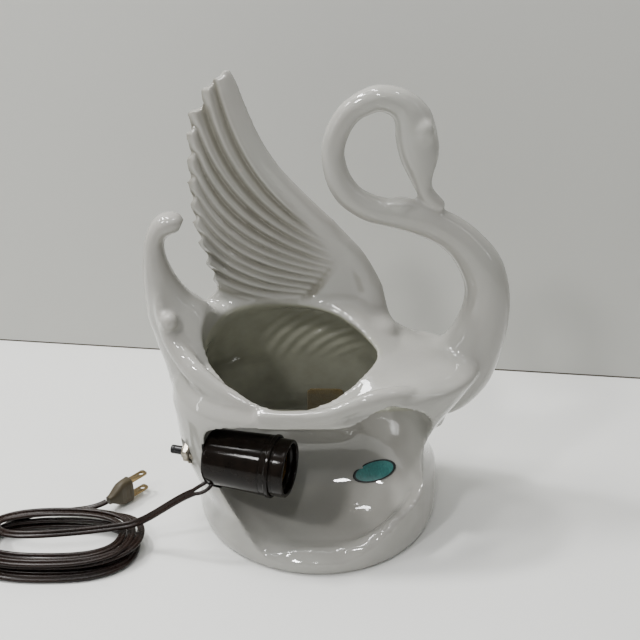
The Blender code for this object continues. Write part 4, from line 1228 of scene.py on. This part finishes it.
def makeCord():
    path = cordPath()
    frames = cordFrames(path)
    ring = twinProfile()
    start = int(cordLook["split"] * mm / cordLook["step"])
    twin = ringsToMesh([[p + wide * x + thin * y for x, y in ring] for p, wide, thin in frames[start:]])
    meshes = [twin]
    radius = cordLook["wireRadius"] * mm
    offset = (cordLook["wide"] - cordLook["thick"]) / 2 * mm
    for side in (-1, 1):
        rings = []
        for i, (p, wide, thin) in enumerate(frames[:start + 4]):
            share = i / start
            bow = offset + cordLook["splitGap"] * mm * math.sin(math.pi * min(share, 1)) ** 0.8
            centre = p + wide * side * min(bow, 0.0026 + 0.002 * share)
            sides = cordLook["wireSides"]
            rings.append([centre + wide * (radius * math.cos(tau * k / sides))
                          + thin * (radius * math.sin(tau * k / sides)) for k in range(sides)])
        meshes.append(ringsToMesh(rings))
    cable = addPiece("twinCord", joined("twinCord", meshes))
    cable.data.shade_smooth()
    finishPiece(cable, cordBrown, ["cord", "cord_hank", "cord_tail"])
    grip, blades = makePlug()
    length = sum((b - a).length for a, b in zip(path, path[1:]))
    print("cord length:", round(length, 3), "m")


plug = {
    "at": (-153.2, -20.9, 10.3), "yaw": 50, "bladeGap": 12.7, "bladeThick": 1.44, "holeAt": 31,
    "holeRadius": 1.7, "grooves": 3, "grooveAt": 10.6, "grooveStep": 2.9,
    "grip": [(0, 2.9, 2.6), (2, 3.3, 2.9), (4, 4.6, 3.4), (7, 6.8, 4.1), (9.5, 8.4, 4.6),
             (12, 9.5, 4.3), (14.5, 9.9, 4.2), (17, 9.9, 4.6), (19, 9.9, 4.8), (20, 9.2, 4.3)],
    "blade": [(20.1, -3.1), (33.2, -3.1), (34.4, -2.5), (35, -1.6), (35, 1.6), (34.4, 2.5),
              (33.2, 3.1), (20.1, 3.1)],
}
plugMatrix = (Matrix.Translation(Vector(plug["at"]) * mm)
              @ Matrix.Rotation(math.radians(plug["yaw"]), 4, "Z")
              @ Matrix.Rotation(math.radians(90), 4, "X"))  # it stands on its narrow side


def makeBlade(label, middle):
    outline, half = plug["blade"], plug["bladeThick"] / 2
    shape = bmesh.new()
    rows = [[shape.verts.new((x * mm, (middle + y) * mm, z * mm)) for x, z in outline]
            for y in (-half, half)]
    shape.faces.new(rows[0])
    shape.faces.new(list(reversed(rows[1])))
    for k in range(len(outline)):
        m = (k + 1) % len(outline)
        shape.faces.new((rows[0][m], rows[0][k], rows[1][k], rows[1][m]))
    bmesh.ops.recalc_face_normals(shape, faces=shape.faces)
    blade = addPiece("plugBlade" + label.title(), meshOf("plugBlade", shape), plugMatrix)
    hole = (plugMatrix @ Matrix.Translation((plug["holeAt"] * mm, middle * mm, 0))
            @ Matrix.Rotation(math.radians(90), 4, "X"))
    cutWith(blade, roundCutter("hole", -9, 9, plug["holeRadius"], hole, 32))
    bevelled(blade, 0.18 * mm, 2)
    blade.data.shade_smooth()
    blade.data.set_sharp_from_angle(angle=math.radians(40))
    return finishPiece(blade, oldBrass, ["plug_blade_" + label])


def makePlug():
    rings = []
    for x, wide, high in smoothRows(plug["grip"], 4):
        rings.append([(x * mm, y * mm, z * mm)
                      for y, z in ovalRing(wide, wide, high, high, 3.2, 40)])
    grip = addPiece("plugGrip", loft("plugGrip", rings), plugMatrix)
    for k in range(plug["grooves"]):  # finger ridges across both faces
        for side in (-1, 1):
            cutter = addPiece("groove", turned("groove", [(0, -12), (1.1, -12), (1.1, 12), (0, 12)], 20))
            cutter.matrix_world = (plugMatrix @ Matrix.Translation(
                ((plug["grooveAt"] + plug["grooveStep"] * k) * mm, 0, side * (5.2 if k else 5.5) * mm))
                @ Matrix.Rotation(math.radians(90), 4, "X"))
            cutWith(grip, cutter)
    grip.data.shade_smooth()
    grip.data.set_sharp_from_angle(angle=math.radians(40))
    finishPiece(grip, plugOlive, ["plug_body"])
    blades = [makeBlade(label, side * plug["bladeGap"] / 2) for side, label in ((1, "far"), (-1, "near"))]
    return grip, blades


# ---- what is stuck on the glaze

stickerLook = {"gap": 0.45 * mm, "rings": 14, "around": 96, "tornAt": 2.25, "tornWide": 0.13}
ovalLabel = {"halfWide": 16, "halfHigh": 7.2, "power": 2, "at": (41, -17.5, 34), "across": (27, -8, 17.5),
             "normal": (-0.47, -0.72, 0.51), "thickness": 0.2, "chip": 0.24}
brownPatch = {"halfWide": 14, "halfHigh": 14, "power": 9, "at": (4, 47.5, 52), "across": (1, 0, 0),
              "normal": (0, -0.97, -0.26), "thickness": 0.8, "chip": 0.05}


def stuckSheet(name, onto, halfWide, halfHigh, power, at, across, normal, thickness, chip):
    count = stickerLook["around"]
    points, rims, faces = [(0, 0, 0)], [0.0], []
    outline = ovalRing(halfWide, halfWide, halfHigh, halfHigh, power, count)
    for k in range(1, stickerLook["rings"] + 1):
        share = k / stickerLook["rings"]
        for i, (x, y) in enumerate(outline):
            turn = tau * i / count
            fromTear = (turn - stickerLook["tornAt"]) / stickerLook["tornWide"]
            torn = chip * math.exp(-fromTear ** 2) + 0.012 * chip * math.sin(23 * turn)
            reach = share * (1 - torn * share ** 3)
            points.append((x * mm * reach, y * mm * reach, 0))
            rims.append(min(reach, 1.0))
    for i in range(count):
        faces.append((0, 1 + i, 1 + (i + 1) % count))
    faces += [tuple(1 + v for v in face) for face in ringFaces(stickerLook["rings"], count)]
    mesh = meshFrom(name, points, faces)
    if mesh.polygons[0].normal.z < 0:
        mesh.flip_normals()
    layer = mesh.attributes.new("rim", "FLOAT", "POINT")
    layer.data.foreach_set("value", rims)
    facing = Vector(normal).normalized()
    side = facing.cross(Vector(across)).normalized()
    turnTo = Matrix((side.cross(facing), side, facing)).transposed()
    made = addPiece(name, mesh, Matrix.Translation(Vector(at) * mm) @ turnTo.to_4x4())
    lay = made.modifiers.new("lay", "SHRINKWRAP")
    lay.target = onto
    lay.wrap_method = "PROJECT"
    lay.use_project_z = True
    lay.use_negative_direction = True
    lay.use_positive_direction = True
    lay.wrap_mode = "ABOVE_SURFACE"
    lay.offset = stickerLook["gap"]
    thick = made.modifiers.new("thickness", "SOLIDIFY")
    thick.thickness = thickness * mm
    thick.offset = 1
    return settle(made)


def makeStickers(ceramic):
    oval = stuckSheet("ovalLabel", ceramic, **ovalLabel)
    finishPiece(oval, labelPaper, ["oval_label"])
    patch = stuckSheet("brownPatch", ceramic, **brownPatch)
    finishPiece(patch, brownFelt, ["planter_patch"])


carriedOver = {
    "centre_contact": oldBrass, "insulator_disc": darkPhenolic, "line_terminal": oldBrass,
    "neutral_terminal": dullNickel, "line_screw": plainSteel, "neutral_screw": plainSteel,
    "switch_plunger": oldBrass, "return_spring": plainSteel, "ratchet_wheel": oldBrass,
    "ratchet_axle": plainSteel, "switch_frame": plainSteel, "switch_leaf": oldBrass,
    "fixed_contact": oldBrass, "lead_line": cordBrown, "lead_neutral": cordBrown,
}


def dressInside():  # the parts inside keep their CAD shape
    for name, shader in carriedOver.items():
        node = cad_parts[name]
        node.data.materials.clear()
        node.data.materials.append(shader)


setCamera()
setLights()
setStage()
swanCeramic = makeSwan()
makeHousing()
makeThreads()
makeNut()
makeButton()
print("lampholder made")
makeCord()
makeStickers(swanCeramic)
dressInside()
print("all pieces made")
